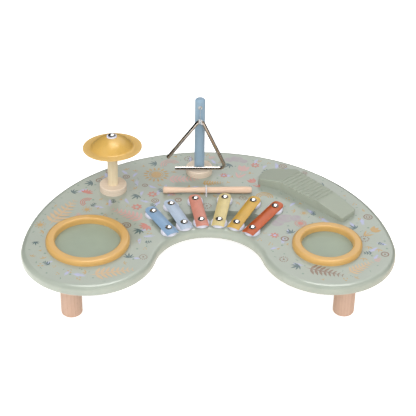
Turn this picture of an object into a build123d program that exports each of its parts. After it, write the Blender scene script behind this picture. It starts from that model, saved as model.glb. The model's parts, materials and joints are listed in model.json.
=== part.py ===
"""A low musical activity table for a small child.

A kidney-shaped board on four dowel legs carries two drums, a fan of six metal note bars,
a spinning cymbal, a hanging triangle, a ribbed scraper block and a mallet under an elastic.

Millimetres, +Z up. The origin is on the floor under the middle of the board, the long side
runs along X, and the child sits in the bay on the -Y side.
"""

import os
from math import atan2, cos, hypot, radians, sin, sqrt

from build123d import *

# ---------------------------------------------------------------- board and legs
table_width = 590.0  # across the two rounded ends
lobe_radius = 107.0  # the rounded ends that carry the drums
lobe_rise = 8.4  # how far the lobe centres lie behind the centre of the back arc
bay_drop = 41.4  # how far the bay's centre lies in front of the lobe centres
board_thickness = 18.0
board_top_round = 8.0
board_bottom_round = 5.0

leg_length = 95.0
leg_radius = 17.0
leg_foot_round = 3.0
front_leg_out, front_leg_forward = 30.0, 22.6  # from the centre of its lobe
rear_leg_turn = 32.6  # degrees either side of straight back
rear_leg_inset = 54.0  # from the back edge

leg_bolt_radius = 3.0
leg_bolt_in_leg = 32.0
leg_bolt_in_board = 9.0
leg_bolt_tip_chamfer = 1.5
insert_nut_radius = 5.0
insert_nut_length = 10.0
insert_nut_flange_radius = 6.5
insert_nut_flange_thickness = 1.0

# ---------------------------------------------------------------- drums
drum_offsets = {"left": (-2.5, 12.4), "right": (-1.0, 1.0)}  # from the centre of its lobe
drum_outer_radii = {"left": 66.5, "right": 55.5}
drum_ring_width = 14.5
drum_ring_height = 8.5
drum_ring_outer_round = 5.0
drum_ring_inner_round = 3.0
skin_thickness = 1.2
skin_drop = 3.0  # the skin lies this far below the board's top, on a ledge
skin_grip = 5.0  # how far the skin reaches in under its ring
sound_recess_depth = 8.0
sound_recess_inset = 1.0  # inside the ring's inner edge

# ---------------------------------------------------------------- note bars
bar_names = ("blue", "lavender", "coral", "cream", "mustard", "orange")
bar_headings = (118.0, 111.0, 98.0, 80.0, 64.4, 56.5)  # degrees from +X, front to back
bar_fan_step = 16.0  # degrees between neighbours, seen from the fan's centre
bar_fan_x = 3.7  # the fan's centre lies this far to the right of the bay's
bar_setback = 18.0  # from the bay's edge to the front row of screws
shortest_pitch = 53.5  # between the two screws of the first bar
pitch_growth = 4.0  # each bar is this much longer than the one before
bar_front_overhang = 15.5  # from a screw to the bar's end
bar_back_overhangs = (13.5, 11.5, 11.0, 11.0, 12.5, 14.0)
bar_width = 20.4
bar_arch = 2.6
bar_thickness = 1.6
bar_back_corner = 6.0
bar_front_corner = 1.5
pad_radius = 13.3
pad_thickness = 5.0
pad_round = 1.0
pad_boss_radius = 4.5
pad_boss_gap = 0.1  # between the boss and the bar's underside
slot_depth = 9.0  # the sound slot in the board, under the bars
slot_front_setback = 26.0  # from the bay's edge to the slot's front edge
slot_turns = (129.5, 90, 50.5)  # degrees from +X to its left end, middle and right end
slot_widths = (20.3, 27.7, 42.3)  # from its front edge to its back edge, at each of those turns
slot_corner = 8.0

# ---------------------------------------------------------------- screws
dome_head_radius = 6.0
dome_head_height = 3.4
dome_head_rim = 0.5
dome_head_shoulder_radius = 3.6
dome_head_shoulder_height = 2.6
dome_shank_radius = 1.9
dome_shank_in_wood = 12.0
wood_screw_head_radius = 4.2
wood_screw_shank_radius = 2.0
wood_screw_in_post = 30.0
wood_screw_in_block = 8.0

# ---------------------------------------------------------------- cymbal
cymbal_turn, cymbal_inset = 132.3, 64.0  # degrees from +X round the board, and from the back edge
stand_base_radius = 22.5
stand_base_round = 1.5
cymbal_base_thickness = 12.0
cymbal_post_radius = 8.5
cymbal_post_height = 97.9  # above the board
cymbal_post_round = 0.8
cymbal_screw_in_post = 26.0
felt_radius = 7.0
felt_thickness = 3.0
felt_crown = 0.6
felt_land_radius = 3.5
cymbal_radius = 48.4
cymbal_bell_radius = 34.5
cymbal_bell_height = 18.4
cymbal_bell_land_radius = 9.0
cymbal_bell_foot_round = 5.0
cymbal_thickness = 1.2
bush_sleeve_radius = 4.0
bush_flange_radius = 8.5
bush_flange_thickness = 1.6
bush_flange_round = 0.7
cymbal_lean = 3.5  # degrees; the loose cymbal rests against one side of its play
cymbal_lean_turn = 24.0  # degrees from +X to the line that it leans about

# ---------------------------------------------------------------- triangle
stand_turn, stand_inset = 92.7, 69.0  # degrees from +X round the board, and from the back edge
triangle_base_thickness = 11.0
triangle_post_radius = 8.5
post_above_hole = 12.9
post_top_round = 4.0
cord_hole_radius = 3.0
cord_radius = 0.75
cord_knot_radius = 4.0
cord_drop = 26.0  # from the hole to the bottom of the cord loop
cord_strand_gap = 0.15  # between the two fixed strands
hairpin_gap = 0.5  # between the strands where the loop turns over at its top
cord_recess = 2.0  # the fixed strands end this far inside the hole's mouth
rod_play = 2.4  # between the rod and each strand of its loop
share_of_turn = 0.48  # a turn back is two bends, each this share of its width
triangle_rod_radius = 3.0
triangle_top_bend_radius = 6.0
triangle_side_bend_radius = 7.0
triangle_right_side = 106.3
triangle_base_side = 86.4
triangle_left_side = 93.4
triangle_right_angle = 65.6  # degrees between the right side and the bottom side
triangle_top_angle = 60.4
triangle_clearance = 2.9  # between the hanging triangle and the base of its stand

# ---------------------------------------------------------------- scraper block
scraper_turn, scraper_inset = 41.4, 70.2  # degrees from +X round the board, and from the back edge
scraper_heading = -47.5  # degrees from +X, along the block
scraper_outline = (  # along the block and across it, from its middle
    (-82.0, -36.0),
    (-45.0, -20.0),
    (90.0, -16.0),
    (88.0, 19.0),
    (18.0, 26.0),
    (-56.0, 30.0),
    (-88.0, 5.0),
    (-93.0, -10.0),
)
scraper_cut_margin = 2.0  # the shaping cuts run this far past the outline
scraper_left_height = 11.5
scraper_height = 16.0
scraper_right_height = 8.0
scraper_flat_start = -48.0  # along the block, from its middle
scraper_flat_end = 38.0
scraper_rib_count = 10
scraper_groove_radius = 2.6
scraper_groove_depth = 1.8
scraper_corner_round = 5.0
scraper_edge_round = 1.2
scraper_screw_places = (-58.0, 62.0)  # along the block, from its middle

# ---------------------------------------------------------------- mallet
mallet_x = 1.7
mallet_gap = 8.7  # behind the note bar that reaches furthest back
mallet_length = 148.0
mallet_butt_radius = 5.9
mallet_neck_radius = 4.75
mallet_head_radius = 5.8
mallet_tip_radius = 5.0
mallet_grip_radius = 5.1
mallet_neck_place = 0.17  # share of the length from the butt
mallet_grip_place = 0.48
mallet_head_place = 0.84
mallet_tip_slope = 0.15
mallet_end_round = 2.2
elastic_x = -0.5
elastic_radius = 1.3
elastic_half_span = 10.0
elastic_crest_half_span = 5.0
elastic_bend_radius = 4.0
elastic_upright = 2.0  # the strands rise this far before they lean in
elastic_knot_radius = 3.0

# ---------------------------------------------------------------- clearances
glue_gap = 0.02  # between a glued post and its socket
thread_gap = 0.05  # around a thread that bites in wood
hole_gap = 0.4  # around a screw that passes through a piece
tip_gap = 0.5  # a blind hole is this much deeper than the screw in it
rest_gap = 0.3  # between pieces of different bodies that rest on each other
running_gap = 0.08  # between the cymbal and the sleeve that it spins on
bush_play = 0.5  # lets the cymbal rock on its post
skin_gap = 0.2

# ---------------------------------------------------------------- worked-out sizes
board_bottom = leg_length
board_top = leg_length + board_thickness
lobe_x = table_width / 2 - lobe_radius
back_radius = lobe_radius + hypot(lobe_x, lobe_rise)
back_y = (lobe_radius - lobe_rise - back_radius) / 2  # puts the origin mid-way, front to back
lobe_y = back_y + lobe_rise
bay_radius = hypot(lobe_x, bay_drop) - lobe_radius  # the bay runs smoothly into both lobes
bay_y = lobe_y - bay_drop


def on_circle(x, y, radius, angle):
    """The point of a circle at an angle in radians."""
    return (x + radius * cos(angle), y + radius * sin(angle))


def inside_rim(turn, inset):
    """The point that lies inset from the back edge, at a turn in degrees round the board."""
    return on_circle(0, back_y, back_radius - inset, radians(turn))


def upright(x, y, z):
    """A drawing plane through a vertical axis: across is X, up is Z."""
    return Plane(origin=(x, y, z), x_dir=(1, 0, 0), z_dir=(0, -1, 0))


def save(piece, label):
    """Name a finished piece and write it to its own file."""
    piece.part.label = label
    export_step(piece.part, f"parts/{label}.step")


def dome_screws(places, seat, length):
    """Dome-headed screws, one at each place, with their heads' undersides at seat."""
    with BuildPart() as screws:
        for x, y in places:
            with BuildSketch(upright(x, y, seat)):
                with BuildLine():
                    ThreePointArc(
                        (0, dome_head_height),
                        (dome_head_shoulder_radius, dome_head_shoulder_height),
                        (dome_head_radius, dome_head_rim),
                    )
                    Polyline(
                        (dome_head_radius, dome_head_rim),
                        (dome_head_radius, 0),
                        (dome_shank_radius, 0),
                        (dome_shank_radius, -length + dome_shank_radius),
                        (0, -length),
                        (0, dome_head_height),
                    )
                make_face()
            revolve(axis=Axis((x, y, seat), (0, 0, 1)))
    return screws


def wood_screws(places, length):
    """Countersunk screws driven up through the board, heads flush with its underside."""
    head_height = wood_screw_head_radius - wood_screw_shank_radius
    with BuildPart() as screws:
        for x, y in places:
            with BuildSketch(upright(x, y, board_bottom)):
                with BuildLine():
                    Polyline(
                        (0, 0),
                        (wood_screw_head_radius, 0),
                        (wood_screw_shank_radius, head_height),
                        (wood_screw_shank_radius, length - wood_screw_shank_radius),
                        (0, length),
                        (0, 0),
                    )
                make_face()
            revolve(axis=Axis((x, y, board_bottom), (0, 0, 1)))
    return screws


# ---------------------------------------------------------------- where things stand
class NoteBar:
    """The place of one note bar, from the bay's edge outwards."""

    def __init__(self, index):
        middle = (len(bar_headings) - 1) / 2
        fan_angle = radians(90 + (middle - index) * bar_fan_step)
        heading = radians(bar_headings[index])
        self.pitch = shortest_pitch + index * pitch_growth
        self.front = on_circle(bar_fan_x, bay_y, bay_radius + bar_setback, fan_angle)
        self.back = on_circle(*self.front, self.pitch, heading)
        self.length = bar_front_overhang + self.pitch + bar_back_overhangs[index]
        self.front_end = on_circle(*self.front, -bar_front_overhang, heading)
        self.back_end = on_circle(*self.back, bar_back_overhangs[index], heading)
        self.along = Vector(cos(heading), sin(heading), 0)
        self.across = Vector(-sin(heading), cos(heading), 0)


leg_places = {
    "front_left": (-lobe_x - front_leg_out, lobe_y - front_leg_forward),
    "front_right": (lobe_x + front_leg_out, lobe_y - front_leg_forward),
    "rear_left": inside_rim(90 + rear_leg_turn, rear_leg_inset),
    "rear_right": inside_rim(90 - rear_leg_turn, rear_leg_inset),
}
drum_centres = {
    side: (lobe_x * sign + drum_offsets[side][0], lobe_y + drum_offsets[side][1])
    for side, sign in (("left", -1), ("right", 1))
}
cymbal_x, cymbal_y = inside_rim(cymbal_turn, cymbal_inset)
stand_x, stand_y = inside_rim(stand_turn, stand_inset)
scraper_x, scraper_y = inside_rim(scraper_turn, scraper_inset)

note_bars = [NoteBar(index) for index in range(len(bar_names))]
bar_screw_places = [place for bar in note_bars for place in (bar.front, bar.back)]
mallet_y = max(bar.back_end[1] for bar in note_bars) + mallet_gap + mallet_head_radius
bar_seat = board_top + pad_thickness
bar_screw_seat = bar_seat + bar_arch + bar_thickness

scraper_plane = Plane(
    origin=(scraper_x, scraper_y, board_top),
    x_dir=(cos(radians(scraper_heading)), sin(radians(scraper_heading)), 0),
    z_dir=(0, 0, 1),
)
scraper_screws = [scraper_plane.from_local_coords((s, 0, 0)) for s in scraper_screw_places]
scraper_screw_points = [(point.X, point.Y) for point in scraper_screws]
rib_pitch = (scraper_flat_end - scraper_flat_start) / (scraper_rib_count + 1)
scraper_grooves = [scraper_flat_start + rib_pitch * (i + 0.5) for i in range(scraper_rib_count + 1)]
post_screw_points = [(cymbal_x, cymbal_y), (stand_x, stand_y)]
elastic_feet = [(elastic_x, mallet_y - elastic_half_span), (elastic_x, mallet_y + elastic_half_span)]
insert_hole_depth = insert_nut_length + tip_gap

os.makedirs("parts", exist_ok=True)

# ================================================================ board
back_turn = atan2(lobe_rise, lobe_x)
bay_turn = atan2(lobe_y - bay_y, lobe_x)
back_join = on_circle(0, back_y, back_radius, back_turn)
bay_join = on_circle(0, bay_y, bay_radius, bay_turn)
lobe_front = (lobe_x, lobe_y - lobe_radius)


def mirrored(point):
    """The same point on the other side of the board's middle."""
    return (-point[0], point[1])


slot_front, slot_back = [
    [
        on_circle(bar_fan_x, bay_y, bay_radius + slot_front_setback + width, radians(turn))
        for turn, width in zip(slot_turns, widths)
    ]
    for widths in ((0, 0, 0), slot_widths)
]

with BuildPart() as table_top:
    with BuildSketch(Plane.XY.offset(board_bottom)):
        with BuildLine():
            ThreePointArc(back_join, (0, back_y + back_radius), mirrored(back_join))
            ThreePointArc(mirrored(back_join), mirrored(lobe_front), mirrored(bay_join))
            ThreePointArc(mirrored(bay_join), (0, bay_y + bay_radius), bay_join)
            ThreePointArc(bay_join, lobe_front, back_join)
        make_face()
    extrude(amount=board_thickness)
    fillet(table_top.edges().group_by(Axis.Z)[-1], board_top_round)
    fillet(table_top.edges().group_by(Axis.Z)[0], board_bottom_round)
    # the ledge under each drum skin and its ring's spigot
    with BuildSketch(Plane.XY.offset(board_top)):
        for side, centre in drum_centres.items():
            with Locations(centre):
                Circle(drum_outer_radii[side] - drum_ring_width + skin_grip + skin_gap)
    extrude(amount=-skin_drop, mode=Mode.SUBTRACT)
    # the shallow sound recess under each drum skin
    with BuildSketch(Plane.XY.offset(board_top)):
        for side, centre in drum_centres.items():
            with Locations(centre):
                Circle(drum_outer_radii[side] - drum_ring_width - sound_recess_inset)
    extrude(amount=-sound_recess_depth, mode=Mode.SUBTRACT)
    # the sound slot under the note bars
    with BuildSketch(Plane.XY.offset(board_top)) as slot_plan:
        with BuildLine():
            ThreePointArc(*slot_front)
            ThreePointArc(*slot_back)
            Line(slot_front[0], slot_back[0])
            Line(slot_front[-1], slot_back[-1])
        make_face()
        fillet(slot_plan.vertices(), slot_corner)
    extrude(amount=-slot_depth, mode=Mode.SUBTRACT)
    # pilot holes of the note bars' screws
    with BuildSketch(Plane.XY.offset(board_top)):
        with Locations(*bar_screw_places):
            Circle(dome_shank_radius + thread_gap)
    extrude(amount=-dome_shank_in_wood - tip_gap, mode=Mode.SUBTRACT)
    # the elastic passes down through two holes
    with BuildSketch(Plane.XY.offset(board_top)):
        with Locations(*elastic_feet):
            Circle(elastic_radius + rest_gap)
    extrude(amount=-board_thickness, mode=Mode.SUBTRACT)
    # countersunk holes for the screws that come up from below
    for place in post_screw_points + scraper_screw_points:
        with Locations(Location((*place, board_bottom), (180, 0, 0))):
            CounterSinkHole(
                wood_screw_shank_radius + hole_gap,
                wood_screw_head_radius + hole_gap,
                board_thickness,
            )
    # blind holes for the threaded inserts of the legs
    with BuildSketch(Plane.XY.offset(board_bottom)):
        with Locations(*leg_places.values()):
            Circle(insert_nut_radius + thread_gap)
    extrude(amount=insert_hole_depth, mode=Mode.SUBTRACT)
    with BuildSketch(Plane.XY.offset(board_bottom)):
        with Locations(*leg_places.values()):
            Circle(insert_nut_flange_radius + thread_gap)
    extrude(amount=insert_nut_flange_thickness, mode=Mode.SUBTRACT)
save(table_top, "table_top")

# ================================================================ legs
for corner, place in leg_places.items():
    with BuildPart() as leg:
        with BuildSketch():
            with Locations(place):
                Circle(leg_radius)
        extrude(amount=leg_length)
        fillet(leg.edges().group_by(Axis.Z)[0], leg_foot_round)
        with BuildSketch(Plane.XY.offset(leg_length)):
            with Locations(place):
                Circle(leg_bolt_radius + thread_gap)
        extrude(amount=-leg_bolt_in_leg - tip_gap, mode=Mode.SUBTRACT)
    save(leg, f"leg_{corner}")

with BuildPart() as leg_bolts:
    with BuildSketch(Plane.XY.offset(leg_length - leg_bolt_in_leg)):
        with Locations(*leg_places.values()):
            Circle(leg_bolt_radius)
    extrude(amount=leg_bolt_in_leg + leg_bolt_in_board)
    chamfer(leg_bolts.edges().group_by(Axis.Z)[0], leg_bolt_tip_chamfer)
save(leg_bolts, "leg_bolts")

with BuildPart() as leg_inserts:
    with BuildSketch(Plane.XY.offset(board_bottom)):
        with Locations(*leg_places.values()):
            Circle(insert_nut_flange_radius)
    extrude(amount=insert_nut_flange_thickness)
    with BuildSketch(Plane.XY.offset(board_bottom)):
        with Locations(*leg_places.values()):
            Circle(insert_nut_radius)
    extrude(amount=insert_nut_length)
    with BuildSketch(Plane.XY.offset(board_bottom)):
        with Locations(*leg_places.values()):
            Circle(leg_bolt_radius + thread_gap)
    extrude(amount=insert_nut_length, mode=Mode.SUBTRACT)
save(leg_inserts, "leg_inserts")

# ================================================================ drums
for side, (x, y) in drum_centres.items():
    outer = drum_outer_radii[side]
    inner = outer - drum_ring_width
    skin_top = skin_thickness - skin_drop
    with BuildPart() as drum_ring:
        with BuildSketch(upright(x, y, board_top)) as ring_section:
            with BuildLine():
                Polyline(
                    (inner, drum_ring_height),
                    (inner, skin_top),
                    (inner + skin_grip, skin_top),
                    (inner + skin_grip, 0),
                    (outer, 0),
                    (outer, drum_ring_height),
                    (inner, drum_ring_height),
                )
            make_face()
            rims = ring_section.vertices().group_by(Axis.Y)[-1].sort_by(Axis.X)
            fillet(rims[-1], drum_ring_outer_round)
            rims = ring_section.vertices().group_by(Axis.Y)[-1].sort_by(Axis.X)
            fillet(rims[0], drum_ring_inner_round)
        revolve(axis=Axis((x, y, board_top), (0, 0, 1)))
    save(drum_ring, f"drum_ring_{side}")

    with BuildPart() as drum_skin:
        with BuildSketch(Plane.XY.offset(board_top - skin_drop)):
            with Locations((x, y)):
                Circle(inner + skin_grip - skin_gap)
        extrude(amount=skin_thickness)
    save(drum_skin, f"drum_skin_{side}")

# ================================================================ note bars
arch_at_boss = bar_arch * (1 - (2 * pad_boss_radius / bar_width) ** 2)

for name, bar in zip(bar_names, note_bars):
    half = bar_width / 2
    section_plane = Plane(origin=(*bar.front_end, bar_seat), x_dir=bar.across, z_dir=bar.along)
    plan_plane = Plane(origin=(*bar.front_end, bar_seat), x_dir=bar.along, z_dir=(0, 0, 1))
    with BuildPart() as note_bar:
        with BuildSketch(section_plane):
            with BuildLine():
                under = ThreePointArc((-half, 0), (0, bar_arch), (half, 0))
                over = ThreePointArc(
                    (-half, bar_thickness), (0, bar_arch + bar_thickness), (half, bar_thickness)
                )
                Line(under @ 0, over @ 0)
                Line(under @ 1, over @ 1)
            make_face()
        extrude(amount=bar.length)
        with BuildSketch(plan_plane) as bar_plan:
            with Locations((bar.length / 2, 0)):
                Rectangle(bar.length, bar_width)
            fillet(bar_plan.vertices().sort_by(Axis.X)[:2], bar_front_corner)
            fillet(bar_plan.vertices().sort_by(Axis.X)[-2:], bar_back_corner)
            with Locations((bar_front_overhang, 0), (bar_front_overhang + bar.pitch, 0)):
                Circle(dome_shank_radius + hole_gap, mode=Mode.SUBTRACT)
        extrude(amount=bar_arch + bar_thickness, mode=Mode.INTERSECT)
    save(note_bar, f"note_bar_{name}")

with BuildPart() as bar_pads:
    with BuildSketch(Plane.XY.offset(board_top)):
        with Locations(*bar_screw_places):
            Circle(pad_radius)
    extrude(amount=pad_thickness)
    fillet(bar_pads.edges().group_by(Axis.Z)[-1], pad_round)
    with BuildSketch(Plane.XY.offset(board_top)):
        with Locations(*bar_screw_places):
            Circle(pad_boss_radius)
    extrude(amount=pad_thickness + arch_at_boss - pad_boss_gap)
    with BuildSketch(Plane.XY.offset(board_top)):
        with Locations(*bar_screw_places):
            Circle(dome_shank_radius + hole_gap)
    extrude(amount=pad_thickness + bar_arch, mode=Mode.SUBTRACT)
save(bar_pads, "bar_pads")

bar_screw_length = bar_screw_seat - board_top + dome_shank_in_wood
save(dome_screws(bar_screw_places, bar_screw_seat, bar_screw_length), "bar_screws")

# ================================================================ cymbal stand
cymbal_post_top = board_top + cymbal_post_height
felt_top = cymbal_post_top + felt_thickness
cymbal_under = felt_top + rest_gap
cymbal_top = cymbal_under + cymbal_thickness
flange_under = cymbal_top + rest_gap
flange_top = flange_under + bush_flange_thickness
cymbal_screw_seat = flange_top + bush_play
cymbal_screw_length = cymbal_screw_seat - cymbal_post_top + cymbal_screw_in_post
post_bore_radius = wood_screw_shank_radius + thread_gap
rock_line = Vector(cos(radians(cymbal_lean_turn)), sin(radians(cymbal_lean_turn)), 0)
cymbal_up = Vector(0, 0, 1).rotate(Axis((0, 0, 0), rock_line), -cymbal_lean)
rock_centre = Vector(cymbal_x, cymbal_y, cymbal_under)
cymbal_axis = Axis(rock_centre, cymbal_up)
# across is the line that the cymbal leans about, up is its own axis, and heights are as on a level one
leaning = Plane(
    origin=rock_centre - cymbal_up * cymbal_under,
    x_dir=rock_line,
    z_dir=rock_line.cross(cymbal_up),
)


def stand_base(x, y, thickness, post_radius):
    """A turned wooden disc with a socket for its post."""
    with BuildPart() as base:
        with BuildSketch(Plane.XY.offset(board_top)):
            with Locations((x, y)):
                Circle(stand_base_radius)
        extrude(amount=thickness)
        fillet(base.edges().group_by(Axis.Z)[-1], stand_base_round)
        with BuildSketch(Plane.XY.offset(board_top)):
            with Locations((x, y)):
                Circle(post_radius + glue_gap)
        extrude(amount=thickness, mode=Mode.SUBTRACT)
    return base


save(stand_base(cymbal_x, cymbal_y, cymbal_base_thickness, cymbal_post_radius), "cymbal_base")

with BuildPart() as cymbal_post:
    with BuildSketch(Plane.XY.offset(board_top)):
        with Locations((cymbal_x, cymbal_y)):
            Circle(cymbal_post_radius)
    extrude(amount=cymbal_post_height)
    fillet(cymbal_post.edges().group_by(Axis.Z)[-1], cymbal_post_round)
    with BuildSketch(Plane.XY.offset(board_top)):
        with Locations((cymbal_x, cymbal_y)):
            Circle(post_bore_radius)
    extrude(amount=wood_screw_in_post + tip_gap, mode=Mode.SUBTRACT)
    with BuildSketch(Plane.XY.offset(cymbal_post_top)):
        with Locations((cymbal_x, cymbal_y)):
            Circle(dome_shank_radius + thread_gap)
    extrude(amount=-cymbal_screw_in_post - tip_gap, mode=Mode.SUBTRACT)
save(cymbal_post, "cymbal_post")

with BuildPart() as cymbal_felt:
    with BuildSketch(upright(cymbal_x, cymbal_y, cymbal_post_top)):
        with BuildLine():
            Polyline(
                (dome_shank_radius + hole_gap, 0),
                (felt_radius, 0),
                (felt_radius, felt_thickness - felt_crown),
                (felt_land_radius, felt_thickness),
                (dome_shank_radius + hole_gap, felt_thickness),
                (dome_shank_radius + hole_gap, 0),
            )
        make_face()
    revolve(axis=Axis((cymbal_x, cymbal_y, 0), (0, 0, 1)))
save(cymbal_felt, "cymbal_felt")

with BuildPart() as cymbal_bush:
    with BuildSketch(leaning) as bush_section:
        with BuildLine():
            bore = dome_shank_radius + bush_play
            Polyline(
                (bore, felt_top + rest_gap),
                (bush_sleeve_radius, felt_top + rest_gap),
                (bush_sleeve_radius, flange_under),
                (bush_flange_radius, flange_under),
                (bush_flange_radius, flange_top),
                (bore, flange_top),
                (bore, felt_top + rest_gap),
            )
        make_face()
        fillet(bush_section.vertices().sort_by(lambda corner: corner.X + corner.Y)[-1], bush_flange_round)
    revolve(axis=cymbal_axis)
save(cymbal_bush, "cymbal_bush")

# the bell is part of a sphere through the rim of its top land and the rim of its foot
bell_centre = (cymbal_bell_land_radius**2 + cymbal_bell_height**2 - cymbal_bell_radius**2) / (
    2 * cymbal_bell_height
)
bell_sphere = hypot(cymbal_bell_radius, bell_centre)
brim_top = cymbal_top - cymbal_bell_height


def bell_point(radius, height_above_brim):
    """A point of the bell's sphere at a height above the brim's top, on a given radius."""
    across = sqrt(radius**2 - (height_above_brim - bell_centre) ** 2)
    return (across, brim_top + height_above_brim)


def bell_arc(radius, low, high):
    """The arc of the bell's section between two heights above the brim's top."""
    middle = (low + high) / 2
    return ThreePointArc(bell_point(radius, low), bell_point(radius, middle), bell_point(radius, high))


with BuildPart() as cymbal:
    with BuildSketch(leaning) as cymbal_section:
        with BuildLine():
            bore = bush_sleeve_radius + running_gap
            inner_sphere = bell_sphere - cymbal_thickness
            top_arc = bell_arc(bell_sphere, 0, cymbal_bell_height)
            under_arc = bell_arc(inner_sphere, -cymbal_thickness, cymbal_bell_height - cymbal_thickness)
            Polyline(top_arc @ 1, (bore, cymbal_top), (bore, cymbal_under), under_arc @ 1)
            Polyline(
                under_arc @ 0,
                (cymbal_radius, brim_top - cymbal_thickness),
                (cymbal_radius, brim_top),
                top_arc @ 0,
            )
        make_face()
        foot_top = cymbal_section.vertices().sort_by_distance(top_arc @ 0)[0]
        fillet(foot_top, cymbal_bell_foot_round)
        foot_under = cymbal_section.vertices().sort_by_distance(under_arc @ 0)[0]
        fillet(foot_under, cymbal_bell_foot_round + cymbal_thickness)
    revolve(axis=cymbal_axis)
save(cymbal, "cymbal")

save(dome_screws([(cymbal_x, cymbal_y)], cymbal_screw_seat, cymbal_screw_length), "cymbal_screw")

# ================================================================ triangle stand
save(stand_base(stand_x, stand_y, triangle_base_thickness, triangle_post_radius), "triangle_base")

# the triangle hangs just clear of the base, and the post is as tall as that needs
right_lean = radians(180 - triangle_right_angle)
left_lean = radians(180 - triangle_right_angle - triangle_top_angle)
middle_lean = (right_lean + left_lean) / 2
corner_to_bend = triangle_top_bend_radius / sin(radians(triangle_top_angle / 2))
rod_bottom = board_top + triangle_base_thickness + triangle_clearance + triangle_rod_radius
corner_top = Vector(
    stand_x + corner_to_bend * cos(middle_lean),
    rod_bottom + triangle_right_side * sin(right_lean),
)
rod_top = corner_top.Y - corner_to_bend * sin(middle_lean) + triangle_top_bend_radius
hole_z = rod_top + cord_drop - cord_radius - rest_gap - triangle_rod_radius
triangle_post_height = hole_z + post_above_hole - board_top
post_front = stand_y - triangle_post_radius

with BuildPart() as triangle_post:
    with BuildSketch(Plane.XY.offset(board_top)):
        with Locations((stand_x, stand_y)):
            Circle(triangle_post_radius)
    extrude(amount=triangle_post_height)
    fillet(triangle_post.edges().group_by(Axis.Z)[-1], post_top_round)
    with BuildSketch(Plane.XY.offset(board_top)):
        with Locations((stand_x, stand_y)):
            Circle(post_bore_radius)
    extrude(amount=wood_screw_in_post + tip_gap, mode=Mode.SUBTRACT)
    with BuildSketch(upright(stand_x, stand_y, hole_z)):
        Circle(cord_hole_radius)
    extrude(amount=2 * triangle_post_radius, both=True, mode=Mode.SUBTRACT)
save(triangle_post, "triangle_post")

# the cord's fixed end: two strands inside the hole, with a knot that bears on the back
anchor_start = post_front + cord_recess
strand_offset = cord_radius + cord_strand_gap / 2
knot_centre = stand_y + triangle_post_radius + sqrt(cord_knot_radius**2 - cord_hole_radius**2) + glue_gap
with BuildPart() as cord_anchor:
    with BuildSketch(upright(stand_x, anchor_start, hole_z)):
        with Locations((0, strand_offset), (0, -strand_offset)):
            Circle(cord_radius)
    extrude(amount=anchor_start - knot_centre)
    with Locations((stand_x, knot_centre, hole_z)):
        Sphere(cord_knot_radius)
save(cord_anchor, "cord_anchor")

# the loop hangs in front of the post, in the plane X = stand_x, from the mouth of the hole
strand_gap = 2 * (triangle_rod_radius + cord_radius + rod_play)
back_strand = -(cord_radius + rest_gap)  # measured from the post's front
front_strand = back_strand - strand_gap
hairpin = 2 * cord_radius + hairpin_gap
cord_bends = [
    share_of_turn * hairpin,
    share_of_turn * hairpin,
    triangle_rod_radius,
    share_of_turn * strand_gap,
    share_of_turn * strand_gap,
]
side_view = Plane(origin=(stand_x, post_front, hole_z), x_dir=(0, 1, 0), z_dir=(1, 0, 0))
with BuildPart() as triangle_cord:
    with BuildLine(side_view) as cord_path:
        FilletPolyline(
            (back_strand, hairpin / 2),
            (back_strand - hairpin, hairpin / 2),
            (front_strand, 3 * triangle_rod_radius - cord_drop),
            (front_strand, -cord_drop),
            (back_strand, -cord_drop),
            radius=cord_bends,
            close=True,
        )
    start = cord_path.edges().filter_by(GeomType.LINE).sort_by(SortBy.LENGTH)[-1]
    with BuildSketch(Plane(origin=start @ 0.5, z_dir=start % 0.5)):
        Circle(cord_radius)
    sweep(path=cord_path.wires()[0])
save(triangle_cord, "triangle_cord")

# the rod hangs in the loop's bottom; its sides are laid out from the top corner
triangle_y = post_front + (back_strand + front_strand) / 2
corner_right = corner_top - Vector(cos(right_lean), sin(right_lean)) * triangle_right_side
end_bottom = corner_right - Vector(triangle_base_side, 0)
end_left = corner_top - Vector(cos(left_lean), sin(left_lean)) * triangle_left_side

with BuildPart() as triangle:
    with BuildLine(Plane.XZ.offset(-triangle_y)) as rod_path:
        rod_line = FilletPolyline(
            (end_left.X, end_left.Y),
            (corner_top.X, corner_top.Y),
            (corner_right.X, corner_right.Y),
            (end_bottom.X, end_bottom.Y),
            radius=[triangle_top_bend_radius, triangle_side_bend_radius],
        )
    with BuildSketch(Plane(origin=rod_line @ 0, z_dir=rod_line % 0)):
        Circle(triangle_rod_radius)
    sweep(path=rod_path.wires()[0])
save(triangle, "triangle")

save(wood_screws(post_screw_points, board_thickness + wood_screw_in_post), "post_screws")

# ================================================================ scraper block
scraper_along = Vector(scraper_plane.x_dir)
scraper_across = Vector(scraper_plane.y_dir)
scraper_left_end = min(along for along, across in scraper_outline) - scraper_cut_margin
scraper_right_end = max(along for along, across in scraper_outline) + scraper_cut_margin
scraper_reach = max(abs(across) for along, across in scraper_outline) + scraper_cut_margin
scraper_side = Plane(
    origin=scraper_plane.from_local_coords((0, scraper_reach, 0)),
    x_dir=scraper_along,
    z_dir=-scraper_across,
)

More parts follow.
